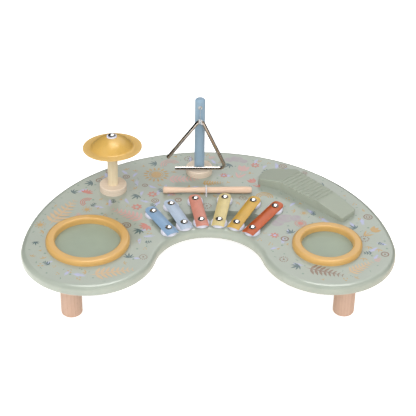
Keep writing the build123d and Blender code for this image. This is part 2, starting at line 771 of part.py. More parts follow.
with BuildPart() as scraper:
    with BuildSketch(scraper_plane) as scraper_plan:
        with BuildLine():
            Polyline(*scraper_outline, close=True)
        make_face()
        fillet(scraper_plan.vertices(), scraper_corner_round)
    extrude(amount=scraper_height)
    # the top falls away towards both ends
    with BuildSketch(scraper_side):
        with BuildLine():
            Polyline(
                (scraper_left_end, 0),
                (scraper_left_end, scraper_left_height),
                (scraper_flat_start, scraper_height),
                (scraper_flat_end, scraper_height),
                (scraper_right_end, scraper_right_height),
                (scraper_right_end, 0),
                close=True,
            )
        make_face()
    extrude(amount=2 * scraper_reach, mode=Mode.INTERSECT)
    upward = scraper.faces().filter_by(lambda face: face.normal_at().Z > 0.5)
    fillet(upward.edges(), scraper_edge_round)
    # the rubbing ribs are left between round grooves
    with BuildSketch(scraper_side):
        with Locations((0, scraper_height + scraper_groove_radius - scraper_groove_depth)):
            with Locations(*[(place, 0) for place in scraper_grooves]):
                Circle(scraper_groove_radius)
    extrude(amount=2 * scraper_reach, mode=Mode.SUBTRACT)
    with BuildSketch(Plane.XY.offset(board_top)):
        with Locations(*scraper_screw_points):
            Circle(wood_screw_shank_radius + thread_gap)
    extrude(amount=wood_screw_in_block + tip_gap, mode=Mode.SUBTRACT)
save(scraper, "scraper")

save(wood_screws(scraper_screw_points, board_thickness + wood_screw_in_block), "scraper_screws")

# ================================================================ mallet
mallet_z = board_top + max(mallet_butt_radius, mallet_head_radius) + rest_gap
mallet_start = mallet_x - mallet_length / 2
mallet_end = mallet_x + mallet_length / 2
with BuildPart() as mallet:
    with BuildSketch(upright(0, mallet_y, mallet_z)) as mallet_section:
        with BuildLine():
            outline = Spline(
                (mallet_start, mallet_butt_radius),
                (mallet_start + mallet_neck_place * mallet_length, mallet_neck_radius),
                (mallet_start + mallet_grip_place * mallet_length, mallet_grip_radius),
                (mallet_start + mallet_head_place * mallet_length, mallet_head_radius),
                (mallet_end, mallet_tip_radius),
                tangents=((1, 0), (1, -mallet_tip_slope)),
            )
            Polyline(outline @ 0, (mallet_start, 0), (mallet_end, 0), outline @ 1)
        make_face()
        fillet(mallet_section.vertices().group_by(Axis.Y)[1:], mallet_end_round)
    revolve(axis=Axis((0, mallet_y, mallet_z), (1, 0, 0)))
save(mallet, "mallet")

# the elastic comes up through the board, goes over the mallet and down again
elastic_crest = mallet_z + mallet_head_radius + rest_gap + elastic_radius
elastic_knot_z = board_bottom - elastic_knot_radius
with BuildPart() as mallet_elastic:
    with BuildLine(Plane.YZ.offset(elastic_x)) as elastic_path:
        elastic_line = FilletPolyline(
            (mallet_y - elastic_half_span, elastic_knot_z),
            (mallet_y - elastic_half_span, board_top + elastic_upright),
            (mallet_y - elastic_crest_half_span, elastic_crest),
            (mallet_y + elastic_crest_half_span, elastic_crest),
            (mallet_y + elastic_half_span, board_top + elastic_upright),
            (mallet_y + elastic_half_span, elastic_knot_z),
            radius=elastic_bend_radius,
        )
    with BuildSketch(Plane(origin=elastic_line @ 0, z_dir=elastic_line % 0)):
        Circle(elastic_radius)
    sweep(path=elastic_path.wires()[0])
    with Locations(*[(*foot, elastic_knot_z) for foot in elastic_feet]):
        Sphere(elastic_knot_radius)
save(mallet_elastic, "mallet_elastic")
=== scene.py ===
"""Dress a low musical activity table: paint, print, wood, metal, cords, floor, light and camera.

The solids come from the frame, in metres. Screws, pads and the printed pattern are repeated by
Geometry Nodes, cords are twisted or braided tubes along a short route, and every surface has a
node-based finish that reads Object coordinates, a UV map or an attribute.
"""

import json
from math import cos, pi, radians, sin, tau

import bmesh
import bpy
from bpy.props import FloatProperty, FloatVectorProperty, IntProperty, PointerProperty
from bpy.types import Operator, Panel, PropertyGroup
from mathutils import Euler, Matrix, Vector

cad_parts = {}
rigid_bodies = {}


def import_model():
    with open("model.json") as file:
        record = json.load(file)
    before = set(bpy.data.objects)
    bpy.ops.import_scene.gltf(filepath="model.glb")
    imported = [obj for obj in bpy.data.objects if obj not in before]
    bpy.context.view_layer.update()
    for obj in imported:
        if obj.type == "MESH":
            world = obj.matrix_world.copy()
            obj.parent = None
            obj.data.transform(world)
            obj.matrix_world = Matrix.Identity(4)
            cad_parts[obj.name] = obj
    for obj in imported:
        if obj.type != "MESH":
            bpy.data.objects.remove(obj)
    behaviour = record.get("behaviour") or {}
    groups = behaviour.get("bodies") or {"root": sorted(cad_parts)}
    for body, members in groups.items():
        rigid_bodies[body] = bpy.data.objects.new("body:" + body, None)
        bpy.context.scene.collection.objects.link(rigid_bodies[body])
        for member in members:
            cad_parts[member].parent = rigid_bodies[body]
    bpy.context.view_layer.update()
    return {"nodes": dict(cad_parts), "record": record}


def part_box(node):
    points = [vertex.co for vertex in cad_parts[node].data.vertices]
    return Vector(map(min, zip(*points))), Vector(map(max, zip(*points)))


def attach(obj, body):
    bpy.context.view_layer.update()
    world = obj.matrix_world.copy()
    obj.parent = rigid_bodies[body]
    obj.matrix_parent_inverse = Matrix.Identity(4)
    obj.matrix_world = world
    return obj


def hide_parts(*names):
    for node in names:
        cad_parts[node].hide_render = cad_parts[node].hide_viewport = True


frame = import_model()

bl_info = {
    "name": "Musical activity table",
    "version": (1, 0, 0),
    "blender": (4, 5, 0),
    "location": "3D View > Sidebar > Music Table",
    "description": "Finishes, printed pattern, cords and stage for a musical activity table",
    "category": "Object",
}

MM = 0.001
BOARD_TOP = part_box("table_top")[1].z
BAR_HEADINGS = {"blue": 118, "lavender": 111, "coral": 98, "cream": 80, "mustard": 64.4, "orange": 56.5}
QUARTER_Y = (0, radians(90), 0)  # turns a grain that runs along X onto Z


# ---------------------------------------------------------------- settings
def tint(name, description, value):
    """A colour that a user may change, as the screen shows it."""
    return FloatVectorProperty(
        name=name, description=description, default=value, size=3, min=0, max=1, subtype="COLOR_GAMMA"
    )


def number(name, description, value, unit="NONE"):
    """A number that a user may change."""
    return FloatProperty(name=name, description=description, default=value, unit=unit)


def length(name, description, millimetres):
    """A length that a user may change."""
    return number(name, description, millimetres * MM, "LENGTH")


class TableColours(PropertyGroup):
    """Colours of the table's finishes."""

    board: tint("Board", "Paint of the board", (0.640, 0.670, 0.622))
    # painted highlight on the board's rounded rim and on the scraper's sides
    board_rim_highlight: tint("Board Edge", "Where the board's rounded rim is rubbed", (0.722, 0.748, 0.694))
    scraper: tint("Scraper", "Paint of the scraper", (0.618, 0.646, 0.586))
    skin: tint("Drum Skin", "Sheet stretched over each drum", (0.607, 0.654, 0.584))
    ring: tint("Drum Ring", "Paint of the drum rings", (0.825, 0.655, 0.385))
    bar_blue: tint("Blue Bar", "Powder coat of the first bar", (0.530, 0.654, 0.776))
    bar_lavender: tint("Lavender Bar", "Powder coat of the second bar", (0.706, 0.764, 0.835))
    bar_coral: tint("Coral Bar", "Powder coat of the third bar", (0.825, 0.545, 0.470))
    bar_cream: tint("Cream Bar", "Powder coat of the fourth bar", (0.855, 0.780, 0.543))
    bar_mustard: tint("Mustard Bar", "Powder coat of the fifth bar", (0.812, 0.642, 0.262))
    bar_orange: tint("Orange Bar", "Powder coat of the sixth bar", (0.720, 0.310, 0.030))
    cymbal: tint("Cymbal", "Powder coat of the cymbal", (0.828, 0.664, 0.333))
    post_blue: tint("Blue Post", "Paint of the triangle's post", (0.555, 0.656, 0.732))
    pad: tint("Pads", "Soft plastic pads and bush", (0.880, 0.882, 0.935))
    leg_light: tint("Leg Wood", "Light wood of the legs", (0.862, 0.726, 0.641))
    leg_dark: tint("Leg Grain", "Grain of the legs", (0.782, 0.629, 0.536))
    base_light: tint("Base Wood", "Light wood of the stands' bases", (0.930, 0.870, 0.800))
    base_dark: tint("Base Grain", "Grain of the stands' bases", (0.855, 0.775, 0.680))
    post_light: tint("Post Wood", "Light wood of the cymbal's post", (0.924, 0.870, 0.749))
    post_dark: tint("Post Grain", "Grain of the cymbal's post", (0.868, 0.801, 0.659))
    mallet_light: tint("Mallet Wood", "Light wood of the mallet", (0.914, 0.801, 0.705))
    mallet_dark: tint("Mallet Grain", "Grain of the mallet", (0.856, 0.719, 0.609))
    cord: tint("Cord", "Knots and wrap of the triangle's cord", (0.975, 0.965, 0.955))
    cord_line: tint("Cord Line", "The thin loop in front of the post", (0.680, 0.750, 0.800))
    elastic: tint("Elastic", "Braided elastic of the mallet", (0.930, 0.920, 0.940))
    felt: tint("Felt", "Washer under the cymbal", (0.910, 0.890, 0.850))
    ink_teal: tint("Teal Ink", "Printed sprigs", (0.070, 0.280, 0.310))
    ink_rust: tint("Rust Ink", "Printed flowers", (0.760, 0.380, 0.310))
    ink_brown: tint("Brown Ink", "Printed rings", (0.480, 0.320, 0.230))
    ink_ochre: tint("Ochre Ink", "Printed suns and seeds", (0.745, 0.560, 0.200))
    ink_lilac: tint("Lilac Ink", "Printed washes", (0.690, 0.700, 0.865))
    ink_rose: tint("Rose Ink", "Printed branches and tulips", (0.840, 0.580, 0.560))
    ink_sand: tint("Sand Ink", "Printed ferns", (0.840, 0.670, 0.460))
    ink_mauve: tint("Mauve Ink", "Printed hummocks", (0.625, 0.560, 0.600))
    ink_green: tint("Green Ink", "Printed dots and strokes", (0.400, 0.520, 0.450))


class PrintSizes(PropertyGroup):
    """Sizes of the pattern printed on the board."""

    clearance: length("Clearance", "Bare width round motifs, the rim and what stands on the board", 0.6)
    film: length("Film", "Height of the ink over the paint", 0.05)
    sprig: length("Sprig", "Size of a sprig of leaves", 16)
    flower: length("Flower", "Size of a flower", 18)
    ring: length("Ring", "Size of a ring", 14)
    seed: length("Seed", "Size of a group of seeds", 10)
    dot: length("Dot", "Size of a dot or stroke", 6)
    wash: length("Wash", "Size of a soft wash of colour", 24)
    random_seed: IntProperty(name="Random Seed", description="Layout of the scattered motifs", default=7)


class CordSizes(PropertyGroup):
    """Sizes of the triangle's cord and the mallet's elastic."""

    cord_width: length("Cord Width", "Thickness of the triangle's cord", 1.5)
    elastic_width: length("Elastic Width", "Thickness of the mallet's elastic", 2.6)
    lay: length("Lay", "Length of one turn of a strand", 4)


class StageSettings(PropertyGroup):
    """Floor, light and camera."""

    floor: tint("Floor", "Pale studio floor", (0.945, 0.945, 0.940))
    floor_size: number("Floor Size", "Side of the floor", 14, "LENGTH")
    floor_glow: number("Floor Glow", "Light that the floor gives to the camera", 0.74)
    sky_light: number("Sky Light", "Strength of the light from all round", 0.75)
    key_power: number("Key Light", "Power of the large soft light", 20, "POWER")
    fill_power: number("Fill Light", "Power of the soft light in front", 16, "POWER")
    camera_place: FloatVectorProperty(
        name="Camera Place", description="Where the camera stands",
        default=(-0.06413, -1.75064, 1.30746), subtype="TRANSLATION", unit="LENGTH",
    )
    camera_turn: FloatVectorProperty(
        name="Camera Turn", description="How the camera is turned",
        default=(radians(55.958), radians(-0.935), radians(-1.495)), subtype="EULER", unit="ROTATION",
    )
    lens: number("Lens", "Focal length in millimetres", 112.5)


GROUPS = {
    "table_colours": TableColours,
    "table_print": PrintSizes,
    "table_cords": CordSizes,
    "table_stage": StageSettings,
}


# ---------------------------------------------------------------- small helpers
def linear(colour):
    """A screen colour as the four linear numbers that a shader takes."""
    parts = [c / 12.92 if c <= 0.04045 else ((c + 0.055) / 1.055) ** 2.4 for c in colour]
    return (*parts, 1.0)


def lit(colour, share):
    """A screen colour made lighter or darker, up to full."""
    return [min(1.0, c * share) for c in colour]


def show(data, name):
    """A new object for a mesh, curve, camera or lamp, in the scene's own collection."""
    holder = bpy.data.objects.new(name, data)
    bpy.context.scene.collection.objects.link(holder)
    return holder


def drop(piece):
    """Remove a helper object and its mesh."""
    mesh = piece.data
    bpy.data.objects.remove(piece)
    if mesh.users == 0:
        bpy.data.meshes.remove(mesh)


def finish_nodes(material, *nodes):
    """Give nodes of the frame their material."""
    for node in nodes:
        mesh = frame["nodes"][node].data
        mesh.materials.clear()
        mesh.materials.append(material)


def hand_over(piece, body="root", stands_for=None):
    """Hide the node a piece stands for, if any, and attach the piece to the body it rides on."""
    if stands_for:
        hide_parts(stands_for)
    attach(piece, body)


def as_mesh(shape, name, *materials, smooth=True):
    """The mesh of a bmesh, which is used up."""
    mesh = bpy.data.meshes.new(name)
    shape.to_mesh(mesh)
    shape.free()
    if smooth:
        mesh.shade_smooth()
    for material in materials:
        mesh.materials.append(material)
    return mesh


def merged(name, meshes, *materials):
    """One smooth mesh of several."""
    shape = bmesh.new()
    for mesh in meshes:
        shape.from_mesh(mesh)
    return as_mesh(shape, name, *materials)


def worked_out(holder):
    """A plain mesh of an object with its spline or modifiers worked out."""
    depsgraph = bpy.context.evaluated_depsgraph_get()
    return bpy.data.meshes.new_from_object(holder.evaluated_get(depsgraph))


def cord_piece(name, tubes, material, body="root", stands_for=None):
    """One piece made of the tubes of a cord."""
    piece = show(merged(name, tubes, material), name)
    hand_over(piece, body, stands_for)
    return piece


WELD_GAP = 1e-6


def welded(*nodes):
    """One bmesh of copies of some nodes, with their loose triangles joined."""
    joined = bmesh.new()
    for node in nodes:
        joined.from_mesh(frame["nodes"][node].data)
    bmesh.ops.remove_doubles(joined, verts=joined.verts, dist=WELD_GAP)
    return joined


def solid_boxes(node):
    """The lowest and highest corner of each separate solid in a node."""
    joined = welded(node)
    unseen = set(joined.verts)
    boxes = []
    while unseen:
        reached = [unseen.pop()]
        for vert in reached:
            for edge in vert.link_edges:
                other = edge.other_vert(vert)
                if other in unseen:
                    unseen.discard(other)
                    reached.append(other)
        corners = [[vert.co[axis] for vert in reached] for axis in range(3)]
        boxes.append((Vector(map(min, corners)), Vector(map(max, corners))))
    joined.free()
    return sorted(boxes, key=lambda box: box[0].x)


# ---------------------------------------------------------------- mesh makers
def turned(name, profile, sides=48):
    """A closed turned shape about Z, from (radius, height) points; one on the axis is a single point."""
    shape = bmesh.new()
    rings = []
    for radius, height in profile:
        turns = [tau * step / sides for step in range(sides if radius else 1)]
        rings.append([shape.verts.new((radius * cos(a), radius * sin(a), height)) for a in turns])
    for lower, upper in zip(rings, rings[1:]):
        for step in range(sides):
            after = (step + 1) % sides
            corners = [lower[step % len(lower)], lower[after % len(lower)]]
            corners += [upper[after % len(upper)], upper[step % len(upper)]]
            corners = list(dict.fromkeys(corners))
            if len(corners) > 2:
                shape.faces.new(corners)
    bmesh.ops.recalc_face_normals(shape, faces=shape.faces)
    return as_mesh(shape, name)


def rounded(start, corner, end, steps=5):
    """Points of a round that leaves start, bends at corner and reaches end."""
    points = []
    for step in range(steps + 1):
        t = step / steps
        weights = ((1 - t) ** 2, 2 * t * (1 - t), t * t)
        points.append(tuple(sum(w * p[i] for w, p in zip(weights, (start, corner, end))) for i in (0, 1)))
    return points


def route_points(points):
    """Points along the smooth line of a cord, read from its own spline."""
    curve = bpy.data.curves.new("route", "CURVE")
    curve.dimensions = "3D"
    spline = curve.splines.new("NURBS")
    spline.points.add(len(points) - 1)
    for place, point in zip(spline.points, points):
        place.co = (*point, 1)
    spline.order_u = 3
    spline.use_endpoint_u = True
    spline.resolution_u = 24
    line = show(curve, "route")
    mesh = worked_out(line)
    found = [vert.co.copy() for vert in mesh.vertices]
    bpy.data.meshes.remove(mesh)
    bpy.data.objects.remove(line)
    bpy.data.curves.remove(curve)
    return found


TWIST = {"strands": 3, "depth": 0.22}  # depth is the share of the radius that lies between strands
BRAID = {"strands": 8, "depth": 0.10}
KNOTTED = {"closed": True, "sides": 16}


def strand_tube(points, radius, lay, strands, depth, closed=False, sides=24):
    """A tube along points whose section has a bulge for each strand, turning once in every lay.

    Its UV map runs once round the tube, and along it in strand turns.
    """
    count = len(points)
    tube = bmesh.new()
    uv = tube.loops.layers.uv.new("UVMap")
    rings, along = [], []
    normal, travelled = None, 0.0
    for index, point in enumerate(points):
        ahead = points[(index + 1) % count if closed else min(index + 1, count - 1)]
        behind = points[index - 1 if closed else max(index - 1, 0)]
        tangent = (ahead - behind).normalized()
        if normal is None:
            normal = tangent.orthogonal().normalized()
        normal = (normal - tangent * normal.dot(tangent)).normalized()
        side = tangent.cross(normal)
        travelled += (point - points[index - 1]).length if index else 0.0
        twist = tau * travelled / lay
        ring = []
        for step in range(sides):
            angle = tau * step / sides
            bulge = abs(cos(strands * (angle - twist) / 2))
            reach = radius * (1 - depth + depth * bulge)
            ring.append(tube.verts.new(point + (normal * cos(angle) + side * sin(angle)) * reach))
        rings.append(ring)
        along.append(travelled / lay)
    pairs = list(zip(range(count - 1), range(1, count))) + [(count - 1, 0)] * closed
    for first, second in pairs:
        for step in range(sides):
            after = (step + 1) % sides
            corners = (rings[first][step], rings[first][after], rings[second][after], rings[second][step])
            around = ((step, first), (step + 1, first), (step + 1, second), (step, second))
            for loop, (turn, place) in zip(tube.faces.new(corners).loops, around):
                loop[uv].uv = (turn / sides, along[place])
    if not closed:
        tube.faces.new(list(reversed(rings[0])))
        tube.faces.new(rings[-1])
    bmesh.ops.recalc_face_normals(tube, faces=tube.faces)
    return as_mesh(tube, "strands")


def knot_points(centre, size, turn=0.0, steps=72):
    """Points of a plain overhand knot, pulled tight, about a centre."""
    points = []
    for step in range(steps):
        t = tau * step / steps
        spot = Vector((sin(t) + 2 * sin(2 * t), cos(t) - 2 * cos(2 * t), -sin(3 * t))) * (size / 3)
        spot.rotate(Euler((radians(90) + turn, turn, 0)))
        points.append(centre + spot)
    return points


# ---------------------------------------------------------------- node helpers
VECTOR, COLOUR, NUMBER = "NodeSocketVector", "NodeSocketColor", "NodeSocketFloat"
GEOMETRY, INTEGER, OBJECT = "NodeSocketGeometry", "NodeSocketInt", "NodeSocketObject"
COLLECTION, MATERIAL = "NodeSocketCollection", "NodeSocketMaterial"
FINISH = {"Color": COLOUR, "Roughness": NUMBER, "Height": NUMBER}


class Wire:
    """A node's output. Each sum or change of it adds a node to its tree and gives that node's output."""

    def __init__(self, socket):
        self.socket = socket
        self.tree = socket.id_data

    def maths(self, operation, *others):
        """A sum on numbers, or on vectors if the other is a tuple."""
        kind = "ShaderNodeVectorMath" if others and isinstance(others[0], tuple) else "ShaderNodeMath"
        return put(self.tree, kind, dict(enumerate((self, *others))), operation=operation)[0]

    def __add__(self, other):
        return self.maths("ADD", other)

    def __sub__(self, other):
        return self.maths("SUBTRACT", other)

    def __mul__(self, other):
        return self.maths("MULTIPLY", other)

    def __truediv__(self, other):
        return self.maths("DIVIDE", other)

    def scaled(self, share):
        """A vector or colour times a number."""
        return put(self.tree, "ShaderNodeVectorMath", {0: self, "Scale": share}, operation="SCALE")[0]

    def length(self):
        """How long a vector is."""
        return put(self.tree, "ShaderNodeVectorMath", {0: self}, operation="LENGTH")["Value"]

    def part(self, axis):
        """One of a vector's three numbers."""
        return put(self.tree, "ShaderNodeSeparateXYZ", {0: self})[axis]

    def turned(self, turn):
        """A vector turned about the origin."""
        return put(self.tree, "ShaderNodeMapping", {"Vector": self, "Rotation": turn})[0]

    def noise(self, scale=1.0, detail=2.0):
        """Smooth noise from 0 to 1 at a place."""
        inputs = {"Vector": self, "Scale": scale, "Detail": detail}
        return put(self.tree, "ShaderNodeTexNoise", inputs)["Fac"]

    def fit(self, low, high, to_low=0.0, to_high=1.0):
        """A number moved from one range to another, and kept inside it."""
        inputs = {"Value": self, "From Min": low, "From Max": high, "To Min": to_low, "To Max": to_high}
        return put(self.tree, "ShaderNodeMapRange", inputs, clamp=True)["Result"]

    def mix(self, first, second):
        """Two colours mixed by this share of the second."""
        return put(self.tree, "ShaderNodeMix", {0: self, 6: first, 7: second}, data_type="RGBA")[2]


class Outputs:
    """A node's outputs as wires."""

    def __init__(self, sockets):
        self.sockets = sockets

    def __getitem__(self, key):
        return Wire(self.sockets[key])


def feed(sockets, values):
    """Give each named input its value or its wire."""
    for key, value in values.items():
        if isinstance(value, Wire):
            value.tree.links.new(value.socket, sockets[key])
        else:
            sockets[key].default_value = value


def put(tree, kind, inputs=None, **own):
    """Add a node, set its own settings, feed its inputs and give its outputs."""
    node = tree.nodes.new(kind)
    for key, value in own.items():
        setattr(node, key, value)
    feed(node.inputs, inputs or {})
    return Outputs(node.outputs)


def new_group(name, inputs, outputs=FINISH, kind="ShaderNodeTree"):
    """An empty node group. A socket is named with its kind, or with its default if that is a number."""
    tree = bpy.data.node_groups.new(name, kind)
    for way, sockets in (("INPUT", inputs), ("OUTPUT", outputs)):
        for label, given in sockets.items():
            plain = not isinstance(given, str)
            socket = tree.interface.new_socket(label, in_out=way, socket_type=NUMBER if plain else given)
            if plain:
                socket.default_value = given
    return Outputs(tree.nodes.new("NodeGroupInput").outputs), tree.nodes.new("NodeGroupOutput").inputs


def use_group(name, values):
    """Place a shared group beside its Vector, with this material's own values."""
    tree = values["Vector"].tree
    return put(tree, "ShaderNodeGroup", values, node_tree=bpy.data.node_groups[name])


# ---------------------------------------------------------------- shared effects
# A triple of numbers stretches a pattern: it is how fine the pattern is along X, Y and Z, per metre.
def build_wood_group():
    """Clear-varnished wood: growth rings, fibres and short flecks, with the grain along Z."""
    inputs = {"Vector": VECTOR, "Light": COLOUR, "Dark": COLOUR}
    inputs |= {"Ring Spacing": 0.004, "Ring Strength": 0.5, "Roughness": 0.5}
    given, result = new_group("clear wood", inputs)
    spot = given["Vector"]
    wander = (spot * (30, 30, 6)).noise() * 0.006
    from_pith = (spot * (1, 1, 0.03) + (0.09, 0.055, 0)).length()
    late_wood = ((from_pith + wander) / given["Ring Spacing"]).maths("FRACT").maths("POWER", 3.0)
    fibres = (spot * (1500, 1500, 45)).noise(detail=3.0)
    flecks = (spot * (800, 800, 130)).noise(detail=1.0).fit(0.62, 0.72)
    patches = (spot * (40, 40, 9)).noise()
    share = late_wood * given["Ring Strength"] + fibres.fit(0.3, 0.75, 0.0, 0.45)
    share = share + patches.fit(0.35, 0.7, -0.1, 0.25)
    grain = share.maths("MAXIMUM", 0.0).maths("MINIMUM", 1.0).mix(given["Light"], given["Dark"])
    fleck_brown = (0.25, 0.13, 0.06, 1)
    feed(result, {
        "Color": (flecks * 0.12).mix(grain, fleck_brown),
        "Roughness": given["Roughness"] + fibres.fit(0.2, 0.8, -0.07, 0.09),
        "Height": fibres * 0.6 - flecks * 0.5,
    })


def build_paint_group():
    """Sprayed paint on wood: uneven tone, a soft orange peel and the grain showing through."""
    inputs = {"Vector": VECTOR, "Color": COLOUR, "Patchiness": 0.05, "Grain": 0.3, "Roughness": 0.42}
    given, result = new_group("sprayed paint", inputs)
    spot = given["Vector"]
    patches = spot.noise(18.0, 4.0)
    peel = spot.noise(620.0)
    grain = (spot * (18, 420, 420)).noise(detail=3.0)
    lines = (grain - 0.5) * (given["Grain"] * 0.16)
    tone = (patches - 0.5) * given["Patchiness"] * 4.0 + 1.0 + lines
    feed(result, {
        "Color": given["Color"].scaled(tone),
        "Roughness": given["Roughness"] + patches.fit(0.3, 0.7, -0.06, 0.08),
        "Height": peel * 0.4 + grain * given["Grain"],
    })


def build_rim_highlight_group():
    """Painted highlight: faces that turn sideways, such as rounded rims, are painted lighter in uneven
    patches, where light catches them.
    """
    inputs = {"Vector": VECTOR, "Color": COLOUR, "Rubbed Color": COLOUR, "Strength": 0.6}
    given, result = new_group("rubbed rims", inputs, {"Color": COLOUR})
    upward = put(given["Vector"].tree, "ShaderNodeNewGeometry")["Normal"].part("Z").maths("ABSOLUTE")
    # painted highlight: the less a face turns up or down, the lighter it is painted
    rim = upward.fit(0.35, 0.97, 1.0, 0.0)
    patchy = given["Vector"].noise(55.0, 4.0).fit(0.3, 0.68, 0.35, 1.0)
    highlighted = rim * patchy * given["Strength"]
    feed(result, {"Color": highlighted.mix(given["Color"], given["Rubbed Color"])})


def build_powder_group():
    """Powder coat on metal: a fine pebbled skin with a few darker specks."""
    given, result = new_group("powder coat", {"Vector": VECTOR, "Color": COLOUR, "Roughness": 0.36})
    spot = given["Vector"]
    pebbles = spot.noise(1150.0)
    specks = spot.noise(800.0, 0.0).fit(0.70, 0.76, 0.0, 0.16)
    toned = given["Color"].scaled(spot.noise(42.0, 3.0).fit(0.3, 0.7, 0.93, 1.05))
    speck_black = (0.05, 0.05, 0.05, 1)
    feed(result, {
        "Color": specks.mix(toned, speck_black),
        "Roughness": given["Roughness"] + pebbles.fit(0.3, 0.7, -0.04, 0.08),
        "Height": pebbles,
    })


def build_smudge_group():
    """Handled bright metal: cloudy fingermarks and faint polishing lines."""
    given, result = new_group("handled metal", {"Vector": VECTOR, "Color": COLOUR, "Roughness": 0.1})
    spot = given["Vector"]
    clouds = spot.noise(120.0, 4.0)
    feed(result, {
        "Color": given["Color"].scaled(clouds.fit(0.3, 0.7, 0.94, 1.03)),
        "Roughness": given["Roughness"] + clouds.fit(0.35, 0.7, -0.01, 0.03),
        "Height": (spot * (300, 2500, 2500)).noise(),
    })


# ---------------------------------------------------------------- materials
PAINTS = {  # patchiness, grain, roughness, strength of the painted highlight on the rims, clear coat
    "board": (0.05, 0.25, 0.36, 0.6, 0.6),
    "drum ring": (0.04, 0.20, 0.38, 0.5, 0.3),
    "post": (0.05, 0.50, 0.45, 0.35, 0.0),
    "scraper": (0.05, 0.50, 0.42, 0.3, 0.0),
}
PLAIN_STEEL, CHROME, WARM_STEEL = (0.72, 0.73, 0.74), (0.86, 0.86, 0.86), (0.84, 0.81, 0.78)
PAINT_BUMP = (0.12, 0.2 * MM)  # strength and depth
PAINT_COAT_ROUGHNESS = 0.11


def opened(material):
    """The inputs of a material's shader, and its Object coordinates."""
    tree = material.node_tree
    return tree.nodes["Principled BSDF"].inputs, put(tree, "ShaderNodeTexCoord")["Object"]


def new_material(name):
    """A material, the inputs of its shader, and its Object coordinates."""
    material = bpy.data.materials.new(name)
    material.use_nodes = True
    return material, *opened(material)


def dress(shader, colour, roughness, height, bump, depth, plain=None):
    """Feed a shader its colour, roughness and bump, and set its plain sockets."""
    inputs = {"Height": height, "Strength": bump, "Distance": depth}
    normal = put(height.tree, "ShaderNodeBump", inputs)["Normal"]
    feed(shader, {"Base Color": colour, "Roughness": roughness, "Normal": normal, **(plain or {})})


def lay_over(material, share_at, colour):
    """Lay a colour over a material, by the share that a function gives for each spot."""
    shader, spot = opened(material)
    plain = Wire(shader["Base Color"].links[0].from_socket)
    feed(shader, {"Base Color": share_at(spot).mix(plain, linear(colour))})
    return material


def wood(name, light, dark, grain_turn=(0, 0, 0), spacing=0.004, rings=0.35, roughness=0.5):
    """Clear-varnished wood; grain_turn brings the grain's direction onto Z."""
    material, shader, spot = new_material(name)
    values = {"Vector": spot.turned(grain_turn), "Light": linear(light), "Dark": linear(dark)}
    values |= {"Ring Spacing": spacing, "Ring Strength": rings, "Roughness": roughness}
    dress(shader, *use_group("clear wood", values), 0.25, 0.2 * MM, {"Specular IOR Level": 0.4})
    return material


def sprayed(kind, spot, colour):
    """Colour, roughness and height of a kind of paint."""
    patchiness, grain, roughness = PAINTS[kind][:3]
    values = {"Patchiness": patchiness, "Grain": grain, "Roughness": roughness}
    return use_group("sprayed paint", {"Vector": spot, "Color": colour, **values})


def paint(kind, colour, highlighted):
    """Sprayed paint whose rims get a painted highlight."""
    material, shader, spot = new_material(f"{kind} paint")
    strength, coat = PAINTS[kind][3:]
    # painted highlight on the rims, through the shared rim group
    values = {"Color": linear(colour), "Rubbed Color": linear(highlighted), "Strength": strength}
    base = use_group("rubbed rims", {"Vector": spot, **values})["Color"]
    coats = {"Coat Weight": coat, "Coat Roughness": PAINT_COAT_ROUGHNESS}
    dress(shader, *sprayed(kind, spot, base), *PAINT_BUMP, coats)
    return material


def powder(name, colour, heading):
    """Powder-coated sheet; the lines of the rolled metal run along heading, in degrees."""
    material, shader, spot = new_material(name)
    values = {"Vector": spot, "Color": linear(colour), "Roughness": 0.36}
    tone, roughness, height = use_group("powder coat", values)
    along = spot.turned((0, 0, -radians(heading)))
    lines = (along * (60, 1300, 1300)).noise().fit(0.3, 0.7, 0.93, 1.05)
    coats = {"Coat Weight": 0.25, "Coat Roughness": 0.2}
    dress(shader, tone.scaled(lines), roughness, height, 0.10, 0.1 * MM, coats)
    return material


def bright_metal(name, colour, roughness, bump=0.0):
    """Polished or plain steel."""
    material, shader, spot = new_material(name)
    values = {"Vector": spot, "Color": linear(colour), "Roughness": roughness}
    dress(shader, *use_group("handled metal", values), bump, 0.05 * MM, {"Metallic": 1.0})
    return material


def soft_plastic(name, colour):
    """Milky soft plastic with a fine moulded texture."""
    material, shader, spot = new_material(name)
    clouds = spot.noise(150.0, 3.0)
    shade = clouds.fit(0.3, 0.7, 0.0, 0.35).mix(linear(colour), linear(lit(colour, 0.93)))
    milky = {"Subsurface Weight": 0.15, "Subsurface Radius": (0.003, 0.003, 0.003)}
    dress(shader, shade, clouds.fit(0.3, 0.7, 0.28, 0.42), spot.noise(1600.0), 0.08, 0.1 * MM, milky)
    return material


def drum_sheet(name, colour):
    """Thin taut sheet with a leathery emboss."""
    material, shader, spot = new_material(name)
    cells = put(spot.tree, "ShaderNodeTexVoronoi", {"Vector": spot, "Scale": 900.0})["Distance"]
    clouds = spot.noise(26.0, 4.0)
    shade = clouds.fit(0.3, 0.7).mix(linear(lit(colour, 0.97)), linear(lit(colour, 1.03)))
    dress(shader, shade, clouds.fit(0.25, 0.75, 0.34, 0.48), cells, 0.12, 0.1 * MM)
    return material


def felt_wool(name, colour):
    """Pressed felt: crossing fibres and a soft fuzz."""
    material, shader, spot = new_material(name)
    crossing = (spot * (2600, 900, 1400)).noise(detail=3.0)
    fibres = (spot * (900, 2600, 900)).noise(detail=3.0).maths("MAXIMUM", crossing)
    shade = fibres.fit(0.4, 0.75).mix(linear(lit(colour, 0.85)), linear(colour))
    dress(shader, shade, fibres.fit(0.4, 0.8, 0.98, 0.88), fibres, 0.5, 0.3 * MM, {"Sheen Weight": 0.3})
    return material


